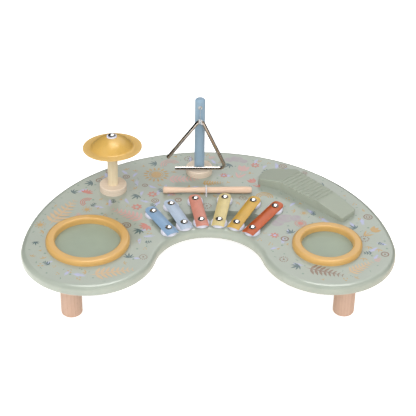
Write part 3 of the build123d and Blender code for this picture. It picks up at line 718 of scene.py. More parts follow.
def yarn(name, colour, strands, sheen):
    """Twisted or braided yarn; its UV map follows the strands."""
    material, shader, spot = new_material(name)
    round_and_along = put(spot.tree, "ShaderNodeTexCoord")["UV"]
    slant = round_and_along.part("X") - round_and_along.part("Y")
    strand = (slant * (pi * strands)).maths("COSINE").maths("ABSOLUTE")
    fibres = (spot * (1800, 1800, 5000)).noise(detail=3.0)
    # painted shade: the grooves between the strands are painted darker
    share = strand.fit(0.1, 0.75) * fibres.fit(0.3, 0.7, 0.75, 1.0)
    shade = share.mix(linear(lit(colour, 0.68)), linear(colour))
    height = strand + fibres * 0.5
    dress(shader, shade, fibres.fit(0.3, 0.7, 0.72, 0.92), height, 0.5, 0.2 * MM, {"Sheen Weight": sheen})
    return material


def ink(name, colour, board, cover, fade):
    """Ink printed into the board's paint, thin and uneven; fade is how much of the way to the
    middle of a motif its edge takes to reach full strength."""
    material, shader, spot = new_material(f"{name} ink")
    bare, roughness, height = sprayed("board", spot, linear(board))
    uneven = spot.noise(260.0, 4.0).fit(0.3, 0.7, 0.76, 1.0)
    grainy = spot.noise(1500.0, 1.0).fit(0.3, 0.6, 0.85, 1.0)
    share = uneven * grainy * cover
    if fade:
        body = put(spot.tree, "ShaderNodeAttribute", attribute_name="body")["Fac"]
        share = share * (body.fit(0.0, fade) * spot.noise(120.0, 3.0).fit(0.3, 0.6, 0.5, 1.0))
    coats = {"Coat Weight": PAINTS["board"][4], "Coat Roughness": PAINT_COAT_ROUGHNESS}
    dress(shader, share.mix(bare, linear(colour)), roughness, height, *PAINT_BUMP, coats)
    return material


# ---------------------------------------------------------------- printed motifs, one metre across
OUTLINE_STEP = 0.0008  # between the heights of a motif's outlines, so that none lies in another
FADING = ("hill", "print_washes")  # their ink thins out towards the edge


def flat_mesh(name, outlines, fading=False):
    """A flat mesh of closed outlines, facing up, each a hair higher or lower than its neighbours.
    A fading one is a fan round the middle of each outline, and its attribute "body" runs from 0 at
    the rim to 1 in the middle."""
    shape = bmesh.new()
    body = shape.verts.layers.float.new("body")
    for order, outline in enumerate(outlines):
        lift = OUTLINE_STEP * (1 + (order - 1) % 6 if order else 0)
        rim = [shape.verts.new((x, y, lift)) for x, y in outline]
        if not fading:
            shape.faces.new(rim)
            continue
        middle = shape.verts.new((*(sum(part) / len(rim) for part in zip(*outline)), lift))
        middle[body] = 1.0
        for step, vert in enumerate(rim):
            shape.faces.new((vert, rim[(step + 1) % len(rim)], middle))
    for face in shape.faces:
        face.normal_update()
        if face.normal.z < 0:
            face.normal_flip()
    return as_mesh(shape, name, smooth=False)


def leaf(base, heading, size, width, points=5):
    """A pointed leaf from its stalk end outwards; width is a share of its size."""
    outline = []
    for step in range(2 * points):
        t = 1 - abs(1 - step / points)
        bulge = width * size / 2 * sin(pi * t**0.8) * (1 if step < points else -1)
        x = base[0] + cos(heading) * size * t - sin(heading) * bulge
        y = base[1] + sin(heading) * size * t + cos(heading) * bulge
        outline.append((x, y))
    return outline


def leaves(base, turns, size, width):
    """Like leaves from one place, each turned from upright by so many degrees."""
    return [leaf(base, radians(90 + turn), size, width) for turn in turns]


def wreath(count, gap, size, width):
    """Leaves that point outwards, round a gap."""
    turns = [tau * step / count for step in range(count)]
    return [leaf((gap * cos(a), gap * sin(a)), a, size, width) for a in turns]


def disc(centre, radius, sides=14, squash=1.0):
    """A round spot."""
    turns = [tau * step / sides for step in range(sides)]
    return [(centre[0] + radius * cos(a), centre[1] + radius * squash * sin(a)) for a in turns]


def band(inner, outer, start=0.0, sweep=tau, sides=20):
    """A piece of a flat ring, as quads."""
    quads = []
    for step in range(sides):
        first, second = (start + sweep * end / sides for end in (step, step + 1))
        corners = ((inner, first), (outer, first), (outer, second), (inner, second))
        quads.append([(reach * cos(a), reach * sin(a)) for reach, a in corners])
    return quads


def stalk():
    """A stalk with three pairs of leaves."""
    shape = [leaf((0, -0.5), radians(90), 1.0, 0.09)]
    for level in range(3):
        shape += leaves((0, -0.32 + 0.26 * level), (-52, 52), 0.42 - 0.07 * level, 0.34)
    return shape


def sprigs():
    """A fan of narrow leaves, and a stalk with paired leaves."""
    turns = (-66, -33, 0, 33, 66)
    return [leaf((0, -0.4), radians(90 + turn), 0.9 - abs(turn) * 0.004, 0.23) for turn in turns], stalk()


def flowers():
    """Open petals round a gap, and a half-open flower."""
    return wreath(7, 0.12, 0.38, 0.62), leaves((0, -0.3), (-70, -42, -14, 14, 42, 70), 0.75, 0.3)


def seeds():
    """Three seeds, a tuft and a bud."""
    trio = [leaf((-0.4, -0.1), 0.35, 0.42, 0.42), leaf((0.05, 0.12), -0.25, 0.42, 0.42)]
    trio.append(leaf((0.0, -0.4), 0.1, 0.38, 0.4))
    bud = [leaf((-0.5, 0), 0.0, 0.45, 0.16), *(leaf((-0.05, 0), turn, 0.5, 0.4) for turn in (0.6, -0.6))]
    return trio, leaves((0, -0.3), (-58, 0, 58), 0.7, 0.24), bud


def dots():
    """Single dots, short strokes and pairs of dots."""
    pair = [disc((-0.3, 0), 0.2), disc((0.3, 0.1), 0.16)]
    return [disc((0, 0), 0.3)], [leaf((-0.5, 0), 0.0, 1.0, 0.3)], pair


def rings():
    """Rings: one with a spot, one inside another, one of short strokes."""
    strokes = [band(0.34, 0.5, tau * turn / 12, tau / 24, 1)[0] for turn in range(12)]
    spotted = [*band(0.30, 0.46), disc((0, 0), 0.13)]
    return spotted, band(0.36, 0.48) + band(0.14, 0.25), [*strokes, disc((0, 0), 0.12)]


def washes():
    """Soft uneven patches of thin colour."""
    shapes = []
    for lobes, phase in ((3, 0.4), (5, 1.3)):
        turns = [tau * step / 36 for step in range(36)]
        reaches = [0.42 + 0.07 * sin(lobes * a + phase) + 0.03 * sin((lobes + 4) * a) for a in turns]
        shapes.append([[(reach * cos(a), 0.34 * reach * sin(a)) for reach, a in zip(reaches, turns)]])
    return shapes


def fern(pairs=8):
    """A large arching stalk with paired leaflets."""
    shapes = [leaf((-0.5, 0), 0.0, 1.0, 0.05)]
    for level in range(pairs):
        x = -0.36 + 0.8 * level / (pairs - 1)
        shapes += leaves((x, 0.0), (-32, -148), 0.26 - 0.18 * (level / (pairs - 1)) ** 1.5, 0.3)
    return shapes


def sun(rays=16):
    """A disc with a gap and a wreath of short rays."""
    return [disc((0, 0), 0.2, 28), *band(0.235, 0.265, sides=28), *wreath(rays, 0.3, 0.2, 0.42)]


def arch():
    """Three arches inside one another."""
    arches = []
    for level in range(3):
        arches += band(0.2 + 0.12 * level, 0.26 + 0.12 * level, 0.0, pi, 24)
    return arches


def tulip():
    """A stemmed cup flower with two long leaves."""
    stem = [(90, 0.56, 0.06), (62, 0.5, 0.2), (118, 0.46, 0.2)]
    cup = leaves((0, 0.02), (-28, 0, 28), 0.46, 0.5)
    return cup + [leaf((0, -0.5), radians(turn), size, width) for turn, size, width in stem]


def hill():
    """A cluster of rounded hummocks."""
    middles = ((-0.26, -0.05), 0.2), ((0.02, 0.06), 0.26), ((0.3, -0.04), 0.18)
    return [disc(middle, radius, 24, 0.8) for middle, radius in middles]


INKS = (  # ink, how well it covers, how far in from its edge it fades
    ("teal", 1.0, 0.0),
    ("rust", 0.95, 0.0),
    ("brown", 0.95, 0.0),
    ("ochre", 0.95, 0.0),
    ("rose", 0.75, 0.0),
    ("green", 0.75, 0.0),
    ("lilac", 1.0, 0.4),
    ("sand", 0.8, 0.0),
    ("mauve", 0.95, 0.12),
)
LARGE_SHAPES = {"sun": sun, "arch": arch, "fern": fern, "tulip": tulip, "hill": hill}
LARGE_MOTIFS = (  # motif, ink, middle of it on the board in mm, turn in degrees, size in mm
    ("sun", "ochre", (-84, 118), 10, 46),
    ("arch", "rose", (-60, 150), 24, 34),
    ("fern", "sand", (-236, 4), 62, 84),
    ("fern", "rose", (-128, -2), 150, 66),
    ("tulip", "rose", (62, 128), -18, 44),
    ("tulip", "rust", (82, 92), 30, 32),
    ("hill", "mauve", (126, -18), 24, 58),
    ("arch", "ochre", (96, 48), -8, 30),
    ("fern", "brown", (176, -158), -20, 62),
    ("fern", "sand", (232, -148), 36, 54),
    ("fern", "sand", (-150, -158), 12, 70),
    ("sun", "rust", (150, -28), 0, 22),
    ("hill", "mauve", (54, 166), -12, 44),
    ("tulip", "ochre", (262, -52), -50, 36),
    ("arch", "rust", (-196, 34), 60, 26),
    ("fern", "rose", (-40, 104), 0, 58),
    ("fern", "ochre", (10, 92), 4, 40),
)
FIRST_LARGE, LARGE_STEP = 1.1, 0.02  # heights of the large motifs, in films
LAYERS = (  # piece, motifs, spacing in metres, setting of their size, times what, ink, height in films
    ("print_washes", washes(), 0.019, "wash", 1.0, "lilac", 0.6),
    ("print_sprigs", sprigs(), 0.033, "sprig", 1.0, "teal", 1.6),
    ("print_flowers", flowers(), 0.041, "flower", 1.0, "rust", 1.65),
    ("print_rings", rings(), 0.031, "ring", 1.0, "brown", 1.7),
    ("print_suns", [sun(9)], 0.042, "ring", 1.2, "ochre", 1.75),
    ("print_branches", [stalk()], 0.034, "sprig", 1.1, "rose", 1.8),
    ("print_seeds", seeds(), 0.0165, "seed", 1.0, "ochre", 1.85),
    ("print_dots", dots(), 0.015, "dot", 1.0, "green", 1.9),
)


# ---------------------------------------------------------------- cords, in metres
LOOP_ROUTE = (  # out of the post's hole, down in front of the triangle's rod, under it and up behind
    (-0.01065, 0.11609, 0.24379),
    (-0.01065, 0.10579, 0.22579),
    (-0.01065, 0.10579, 0.21679),
    (-0.01065, 0.11809, 0.21679),
    (-0.01065, 0.11809, 0.22579),
    (-0.01065, 0.11809, 0.24379),
)
BAND_ROUTE = (  # from its knot under the board up through it, over the mallet and down to its other knot
    (-0.0005, 0.05104, 0.0920),
    (-0.0005, 0.05104, 0.1040),
    (-0.0005, 0.05104, 0.1150),
    (-0.0005, 0.05604, 0.1266),
    (-0.0005, 0.06604, 0.1266),
    (-0.0005, 0.07104, 0.1150),
    (-0.0005, 0.07104, 0.1040),
    (-0.0005, 0.07104, 0.0920),
)


# ---------------------------------------------------------------- Geometry Nodes
def random_number(given, low, high):
    """A number for each point, drawn from the tree's own seed."""
    inputs = {2: low, 3: high, "Seed": given["Seed"]}
    return put(given["Seed"].tree, "FunctionNodeRandomValue", inputs, data_type="FLOAT")[1]


def set_out(given, result, points, piece, more=None):
    """Set a piece on each point, turned at random, and make it all plain geometry of one material."""
    tree = points.tree
    turn = put(tree, "ShaderNodeCombineXYZ", {"Z": random_number(given, -pi, pi)})[0]
    inputs = {"Points": points, "Instance": piece, "Rotation": turn, **(more or {})}
    placed = put(tree, "GeometryNodeInstanceOnPoints", inputs)[0]
    real = put(tree, "GeometryNodeRealizeInstances", {"Geometry": placed})[0]
    inked = put(tree, "GeometryNodeSetMaterial", {"Geometry": real, "Material": given["Material"]})[0]
    feed(result, {"Geometry": inked})


def build_scatter_tree():
    """Motifs scattered evenly over the printed area, clear of whatever stands on it."""
    inputs = {"Geometry": GEOMETRY, "Motifs": COLLECTION, "Keep Clear": OBJECT, "Clearance": NUMBER}
    inputs |= {"Spacing": NUMBER, "Size": NUMBER, "Seed": INTEGER, "Material": MATERIAL}
    given, result = new_group("scatter motifs", inputs, {"Geometry": GEOMETRY}, "GeometryNodeTree")
    tree = given["Geometry"].tree
    spreading = {"Mesh": given["Geometry"], "Distance Min": given["Spacing"], "Density Max": 30000.0}
    spreading["Seed"] = given["Seed"]
    kind = "GeometryNodeDistributePointsOnFaces"
    spread = put(tree, kind, spreading, distribute_method="POISSON")["Points"]
    standing = put(tree, "GeometryNodeObjectInfo", {"Object": given["Keep Clear"]})["Geometry"]
    near = put(tree, "GeometryNodeProximity", {0: standing}, target_element="FACES")["Distance"]
    compared = {0: near, 1: given["Clearance"]}
    too_near = put(tree, "FunctionNodeCompare", compared, operation="LESS_THAN")[0]
    deleted = {"Geometry": spread, "Selection": too_near}
    kept = put(tree, "GeometryNodeDeleteGeometry", deleted, domain="POINT")[0]
    choice = {"Collection": given["Motifs"], "Separate Children": True, "Reset Children": True}
    motif = put(tree, "GeometryNodeCollectionInfo", choice)[0]
    size = random_number(given, 0.75, 1.2) * given["Size"]
    set_out(given, result, kept, motif, {"Pick Instance": True, "Scale": size})


def build_repeat_tree():
    """One turned piece set on each point, with its own small turn."""
    inputs = {"Geometry": GEOMETRY, "Piece": OBJECT, "Seed": INTEGER, "Material": MATERIAL}
    given, result = new_group("repeat piece", inputs, {"Geometry": GEOMETRY}, "GeometryNodeTree")
    piece = put(given["Geometry"].tree, "GeometryNodeObjectInfo", {"Object": given["Piece"]})["Geometry"]
    set_out(given, result, given["Geometry"], piece)


def run_tree(label, base, values, name):
    """Run a tree on a base mesh and keep the result as a plain mesh in a new object."""
    tree = bpy.data.node_groups[label]
    carrier = show(base, "carrier")
    modifier = carrier.modifiers.new("nodes", "NODES")
    modifier.node_group = tree
    for item in tree.interface.items_tree:
        if item.in_out == "INPUT" and item.name in values:
            modifier[item.identifier] = values[item.name]
    carrier.update_tag()
    bpy.context.view_layer.update()
    mesh = worked_out(carrier)
    mesh.name = name
    carrier.modifiers.clear()
    drop(carrier)
    return show(mesh, name)


def repeat_piece(name, pattern_mesh, boxes, level, material):
    """A turned piece repeated in the middle of each box, at its bottom (level 0) or top (level 1)."""
    places = [((box[0].x + box[1].x) / 2, (box[0].y + box[1].y) / 2, box[level].z) for box in boxes]
    base = bpy.data.meshes.new(name)
    base.from_pydata(places, [], [])
    pattern = show(pattern_mesh, "pattern")
    piece = run_tree("repeat piece", base, {"Piece": pattern, "Seed": 3, "Material": material}, name)
    drop(pattern)
    return piece


# ---------------------------------------------------------------- operators
BUILDERS = (
    build_wood_group,
    build_paint_group,
    build_rim_highlight_group,
    build_powder_group,
    build_smudge_group,
    build_scatter_tree,
    build_repeat_tree,
)


class MUSICTABLE_OT_finishes(Operator):
    """Build the shared shader groups and Geometry Nodes trees"""

    bl_idname = "musictable.finishes"
    bl_label = "Shared Finishes"

    def execute(self, context):
        for build in BUILDERS:
            build()
        return {"FINISHED"}


class MUSICTABLE_OT_board(Operator):
    """Paint the board and finish its legs and their hidden fixings"""

    bl_idname = "musictable.board"
    bl_label = "Board and Legs"

    def execute(self, context):
        colours = context.scene.table_colours
        # the board's rounded rim gets a painted highlight
        finish_nodes(paint("board", colours.board, colours.board_rim_highlight), "table_top")
        leg = wood("leg wood", colours.leg_light, colours.leg_dark, spacing=0.005, roughness=0.52)
        finish_nodes(leg, "leg_front_left", "leg_front_right", "leg_rear_left", "leg_rear_right")
        steel = bright_metal("plain steel", PLAIN_STEEL, 0.3, 0.03)
        finish_nodes(steel, "leg_bolts", "leg_inserts", "post_screws", "scraper_screws")
        return {"FINISHED"}


def board_faces(flat_top):
    """A welded copy of the board with only its flat top, or with all but that."""
    board = welded("table_top")
    flat, close = 0.999, 1e-5
    top = {f for f in board.faces if f.normal.z > flat and f.calc_center_median().z > BOARD_TOP - close}
    unwanted = [face for face in board.faces if (face in top) != flat_top]
    bmesh.ops.delete(board, geom=unwanted, context="FACES")
    return board


def printed_area(film):
    """The flat top of the board, as a mesh just over the paint."""
    board = board_faces(True)
    for vert in board.verts:
        vert.co.z = BOARD_TOP + film
    return as_mesh(board, "printed area", smooth=False)


STANDING = ("drum_ring_left", "drum_ring_right", "bar_pads", "cymbal_base", "triangle_base", "scraper")


def standing_things():
    """A helper of all that the print keeps clear of: what stands on the board, and its rim and holes."""
    joined = welded(*STANDING)
    joined.from_mesh(as_mesh(board_faces(False), "rim", smooth=False))
    return show(as_mesh(joined, "standing things", smooth=False), "standing things")


class MUSICTABLE_OT_print(Operator):
    """Print the board with scattered small motifs and a few large ones"""

    bl_idname = "musictable.print"
    bl_label = "Printed Pattern"

    def finish(self, piece, blocks):
        """Hand a printed piece to the board; where it blocks, later motifs keep clear of it."""
        hand_over(piece)
        if blocks:
            joined = bmesh.new()
            joined.from_mesh(self.keep_clear.data)
            joined.from_mesh(piece.data)
            joined.to_mesh(self.keep_clear.data)
            joined.free()

    def large(self, film, order, motif, material, middle, turn, size):
        """One large motif, a piece of its own."""
        name = f"large_{motif}_{order}"
        mesh = flat_mesh(name, LARGE_SHAPES[motif](), motif in FADING)
        for vert in mesh.vertices:
            vert.co = vert.co * (size * MM)
            vert.co.rotate(Euler((0, 0, radians(turn))))
            height = BOARD_TOP + film * (FIRST_LARGE + order * LARGE_STEP)
            vert.co += Vector((middle[0] * MM, middle[1] * MM, height))
        mesh.materials.append(material)
        self.finish(show(mesh, name), True)

    def scatter(self, sizes, seed, name, shapes, spacing, size, material, level):
        """One ink's layer of scattered motifs; level sets how high it lies among the layers."""
        group = bpy.data.collections.new(name)
        bpy.context.scene.collection.children.link(group)
        for order, outlines in enumerate(shapes):
            label = f"motif_{order}"
            group.objects.link(bpy.data.objects.new(label, flat_mesh(label, outlines, name in FADING)))
        values = {
            "Motifs": group,
            "Keep Clear": self.keep_clear,
            "Clearance": sizes.clearance + size * 0.5,
            "Spacing": spacing,
            "Size": size,
            "Seed": seed + sizes.random_seed,
            "Material": material,
        }
        piece = run_tree("scatter motifs", printed_area(sizes.film * level), values, name)
        for motif in list(group.objects):
            drop(motif)
        bpy.data.collections.remove(group)
        self.finish(piece, level > 1)

    def execute(self, context):
        colours, sizes = context.scene.table_colours, context.scene.table_print
        inks = {}
        for name, *how in INKS:
            inks[name] = ink(name, getattr(colours, f"ink_{name}"), colours.board, *how)
        self.keep_clear = standing_things()
        for order, (motif, name, *place) in enumerate(LARGE_MOTIFS):
            self.large(sizes.film, order, motif, inks[name], *place)
        for seed, (piece, shapes, spacing, key, times, name, level) in enumerate(LAYERS, 1):
            size = getattr(sizes, key) * times
            self.scatter(sizes, seed, piece, shapes, spacing, size, inks[name], level)
        drop(self.keep_clear)
        return {"FINISHED"}


class MUSICTABLE_OT_drums(Operator):
    """Paint the drum rings and give the skins their leathery sheet"""

    bl_idname = "musictable.drums"
    bl_label = "Drums"

    def execute(self, context):
        colours = context.scene.table_colours
        # the rings' rims get a painted highlight, a little lighter than the ring
        ring = paint("drum ring", colours.ring, lit(colours.ring, 1.05))
        finish_nodes(ring, "drum_ring_left", "drum_ring_right")
        finish_nodes(drum_sheet("drum skin sheet", colours.skin), "drum_skin_left", "drum_skin_right")
        return {"FINISHED"}


class MUSICTABLE_OT_bars(Operator):
    """Coat the note bars, and set their pads and dome screws"""

    bl_idname = "musictable.bars"
    bl_label = "Note Bars"

    def execute(self, context):
        colours = context.scene.table_colours
        for name, heading in BAR_HEADINGS.items():
            coat = powder(f"{name} powder coat", getattr(colours, f"bar_{name}"), heading)
            finish_nodes(coat, f"note_bar_{name}")
        self.pads(soft_plastic("pad plastic", colours.pad))
        chrome = bright_metal("screw chrome", CHROME, 0.06)
        self.screws("bar_screws", "bar_dome_screws", chrome)
        self.screws("cymbal_screw", "cymbal_dome_screw", chrome)
        return {"FINISHED"}

    def pads(self, material):
        """Soft round pads under the bars, each with a boss that holds its bar off the board."""
        boxes = solid_boxes("bar_pads")
        low, high = boxes[0]
        radius, top = (high.x - low.x) / 2, high.z - low.z
        boss, bore, seat = 4.5 * MM, 2.3 * MM, 5 * MM
        foot, shoulder, fillet = 0.3 * MM, 1.3 * MM, 0.5 * MM
        profile = [(bore, 0.0), (radius - foot, 0.0)]
        profile += rounded((radius, foot), (radius, seat), (radius - shoulder, seat))
        profile += rounded((boss + fillet, seat), (boss, seat), (boss, seat + fillet), 3)
        profile += [(boss, top), (bore, top), (bore, 0.0)]
        piece = repeat_piece("bar_soft_pads", turned("pad", profile), boxes, 0, material)
        hand_over(piece, stands_for="bar_pads")

    def screws(self, node, name, material):
        """Polished dome screws in the place of a node's own."""
        boxes = solid_boxes(node)
        low, high = boxes[0]
        radius, tip = (high.x - low.x) / 2, low.z - high.z
        shank, seat, edge = 1.9 * MM, -3.4 * MM, 0.15 * MM
        dome_foot = (radius * 0.97, seat + 0.75 * MM)
        rim = (radius * 0.985, seat + 0.6 * MM), (radius, seat + 0.4 * MM), (radius, seat + edge)
        profile = [(0.0, 0.0), *rounded((0.2 * MM, 0.0), (radius * 0.62, -0.1 * MM), dome_foot, 12)]
        profile += rounded(*rim, 3)
        profile += [(radius - edge, seat), (shank, seat), (shank, tip + shank), (0.0, tip)]
        piece = repeat_piece(name, turned("dome screw", profile, 64), boxes, 1, material)
        hand_over(piece, stands_for=node)


class MUSICTABLE_OT_cymbal(Operator):
    """Finish the cymbal and both stands' bases"""

    bl_idname = "musictable.cymbal"
    bl_label = "Cymbal"

    def execute(self, context):
        colours = context.scene.table_colours
        finish_nodes(self.layered_wood(colours), "cymbal_base", "triangle_base")
        finish_nodes(wood("cymbal post wood", colours.post_light, colours.post_dark), "cymbal_post")
        finish_nodes(felt_wool("washer felt", colours.felt), "cymbal_felt")
        finish_nodes(bpy.data.materials["pad plastic"], "cymbal_bush")
        finish_nodes(self.coated_sheet(colours.cymbal), "cymbal")
        return {"FINISHED"}

    def layered_wood(self, colours):
        """Plywood: thin layers, each with a dark glue line."""
        layer = 3.1 * MM

        def glue(spot):
            in_layer = ((spot.part("Z") - BOARD_TOP) / layer).maths("FRACT")
            return (in_layer - 0.5).maths("ABSOLUTE").fit(0.34, 0.5) * 0.55

        plain = wood("stand base wood", colours.base_light, colours.base_dark, QUARTER_Y, 0.003)
        return lay_over(plain, glue, lit(colours.base_dark, 0.86))

    def coated_sheet(self, colour):
        """Powder coat over spun metal, whose turning lines still show; a painted sheen pales it towards
        its rim.
        """
        material, shader, spot = new_material("cymbal powder coat")
        joints = frame["record"]["behaviour"]["joints"]
        joint = next(joint for joint in joints if joint["name"] == "cymbal_spin")
        off_centre = spot + tuple(-place for place in joint["pos_m"])
        radius = off_centre.maths("CROSS_PRODUCT", tuple(joint["axis"])).length()
        line_spacing, sheen_starts, sheen_whole = 0.0011, 0.033, 0.046
        lines = (radius * (tau / line_spacing)).maths("SINE")
        values = {"Vector": spot, "Color": linear(colour), "Roughness": 0.33}
        tone, roughness, height = use_group("powder coat", values)
        # painted sheen: towards its rim the cymbal is painted paler and less saturated
        pale = linear([min(1.0, c * share) for c, share in zip(colour, (1.06, 1.09, 1.28))])
        shade = radius.fit(sheen_starts, sheen_whole, 0.0, 0.9).mix(tone, pale)
        coats = {"Coat Weight": 0.2, "Coat Roughness": 0.22}
        dress(shader, shade, roughness, lines * 0.35 + height, 0.10, 0.1 * MM, coats)
        return material


class MUSICTABLE_OT_triangle(Operator):
    """Finish the triangle and its post, and hang it on a twisted cord with a knot"""

    bl_idname = "musictable.triangle"
    bl_label = "Triangle"

    def execute(self, context):
        colours, cords = context.scene.table_colours, context.scene.table_cords
        finish_nodes(bright_metal("triangle steel", WARM_STEEL, 0.11), "triangle")
        finish_nodes(self.post_paint(colours), "triangle_post")
        cord_yarn = yarn("cord yarn", colours.cord, TWIST["strands"], 0.1)
        half = cords.cord_width / 2
        self.loop(cords, half, yarn("loop yarn", colours.cord_line, TWIST["strands"], 0.1))
        self.knot(cords, half, cord_yarn)
        self.wrap(cords, half, cord_yarn)
        return {"FINISHED"}

    def post_paint(self, colours):
        """Blue paint on the post, with bare wood inside the cord's hole."""
        low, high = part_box("triangle_post")
        hole_z = (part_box("cord_anchor")[0].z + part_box("cord_anchor")[1].z) / 2
        to_hole = tuple(-Vector(((low.x + high.x) / 2, 0, hole_z)))

        def in_hole(spot):
            return ((spot + to_hole) * (1, 0, 1)).length().fit(0.00315, 0.0036, 1.0, 0.0)

        # the post's sides get a painted highlight, a little lighter than the post
        painted = paint("post", colours.post_blue, lit(colours.post_blue, 1.12))
        return lay_over(painted, in_hole, colours.base_light)

    def loop(self, cords, half, material):
        """The loop that carries the triangle: down in front of the rod, under it and up behind."""
        points = route_points(LOOP_ROUTE)
        tube = strand_tube(points, half, cords.lay, **TWIST)
        piece = cord_piece("triangle_loop", [tube], material, "triangle_cord", "triangle_cord")

    def knot(self, cords, half, material):
        """The cord's fixed end: two strands through the post, a tuck at its mouth and a knot behind."""
        low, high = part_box("cord_anchor")
        front, back = (corner.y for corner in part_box("triangle_post"))
        x, z = (low.x + high.x) / 2, (low.z + high.z) / 2
        tubes = []
        for offset in (half * 1.05, -half * 1.05):
            start = Vector((x, low.y, z + offset))
            end = Vector((x, back + 1.5 * MM, z + offset))
            points = [start.lerp(end, step / 24) for step in range(25)]
            tubes.append(strand_tube(points, half, cords.lay, **TWIST))
        tuck = knot_points(Vector((x, front + 0.7 * MM, z - 0.6 * MM)), 2.6 * MM, 0.4)
        knot = knot_points(Vector((x, back + 2.2 * MM, z)), 2.2 * MM)
        tubes += [strand_tube(points, half, cords.lay, **TWIST, **KNOTTED) for points in (tuck, knot)]
        cord_piece("cord_knot", tubes, material, stands_for="cord_anchor")

    def wrap(self, cords, half, material):
        """Three turns of cord drawn tight round the top of the triangle, and the hitch that ends them."""
        low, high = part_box("triangle")
        rod = (high.y - low.y) / 2
        middle = Vector((LOOP_ROUTE[0][0], (low.y + high.y) / 2, high.z - rod))
        turns, steps, tight = 3, 28, 0.95
        reach = rod + half * tight
        points = []
        for step in range(turns * steps + 1):
            turn = tau * step / steps
            along = (step / (turns * steps) - 0.5) * turns * cords.cord_width * tight
            points.append(middle + Vector((along, reach * cos(turn), reach * sin(turn))))
        hitch = knot_points(middle + Vector((0.6 * MM, -rod - 1.3 * MM, 0.2 * MM)), 3.6 * MM, 0.9)
        tubes = [strand_tube(points, half, cords.lay, **TWIST, sides=16)]
        tubes.append(strand_tube(hitch, half, cords.lay, **TWIST, **KNOTTED))
        cord_piece("rod_wrap", tubes, material, body="triangle")


class MUSICTABLE_OT_scraper(Operator):
    """Paint the ribbed scraper block"""

    bl_idname = "musictable.scraper"
    bl_label = "Scraper"

    def execute(self, context):
        colours = context.scene.table_colours
        # the scraper's sides get a painted highlight in the board's lighter rim colour
        finish_nodes(paint("scraper", colours.scraper, colours.board_rim_highlight), "scraper")
        return {"FINISHED"}


class MUSICTABLE_OT_mallet(Operator):
    """Finish the mallet and lay its elastic over it"""

    bl_idname = "musictable.mallet"
    bl_label = "Mallet"

    def execute(self, context):
        colours, cords = context.scene.table_colours, context.scene.table_cords
        stick = wood("mallet wood", colours.mallet_light, colours.mallet_dark, QUARTER_Y, 0.003, 0.3)
        finish_nodes(stick, "mallet")
        self.elastic(cords, yarn("elastic braid", colours.elastic, BRAID["strands"], 0.2))
        return {"FINISHED"}

    def elastic(self, cords, material):
        """The elastic rises through one hole, passes over the mallet and goes down the other."""
        half = cords.elastic_width / 2
        points = route_points(BAND_ROUTE)
        over = strand_tube(points, half, cords.lay * 1.5, **BRAID, sides=48)
        band_piece = cord_piece("mallet_band", [over], material, stands_for="mallet_elastic")
        ends = [Vector((x, y, z + 1.1 * MM)) for x, y, z in (BAND_ROUTE[0], BAND_ROUTE[-1])]
        knots = [knot_points(end, 1.9 * MM, 0.7) for end in ends]
        tubes = [strand_tube(knot, half * 0.85, cords.lay, **BRAID, **KNOTTED) for knot in knots]
        knot_piece = cord_piece("band_knots", tubes, material)


LIGHTS = (  # name, the setting of its power, its side and its place in metres
    ("key light", "key_power", 1.6, (-1.5, -0.7, 2.3)),
    ("fill light", "fill_power", 1.0, (0.3, -1.6, 1.9)),
)
AIM = Vector((0, 0, 0.1))
BLACK, WHITE = (0, 0, 0, 1), (1, 1, 1, 1)
UNLIT_FLOOR = (0.02, 0.02, 0.02, 1)
FLOOR_LEFT, FLOOR_RIGHT = (1.0, 0.97, 0.93, 1), (0.76, 0.64, 0.52, 1)  # as bright metal mirrors it
SKY_LOW, SKY_HIGH = (1.45, 1.45, 1.45, 1), (0.50, 0.50, 0.50, 1)
BACKDROP = (1.36, 1.36, 1.36, 1)
STUDIO = (0.36, 0.34, 0.33, 1)
CARDS = (  # where each card hangs, how near its middle its edge starts and ends, its colour
    ((0.0, -0.90, 0.44), 0.68, 0.80, (0.02, 0.02, 0.02, 1)),
    ((-0.77, 0.64, -0.05), 0.50, 0.72, (0.015, 0.015, 0.015, 1)),
    ((0.77, 0.64, -0.15), 0.80, 0.90, (0.05, 0.045, 0.04, 1)),
    ((0.24, 0.60, 0.76), 0.86, 0.92, (2.6, 2.6, 2.6, 1)),
    ((0.08, 0.10, 0.99), 0.93, 0.965, (10.5, 10.5, 10.5, 1)),
    ((-0.92, -0.38, -0.05), 0.80, 0.90, (0.02, 0.02, 0.02, 1)),
    ((0.74, -0.67, 0.0), 0.72, 0.88, (0.74, 0.62, 0.50, 1)),
)


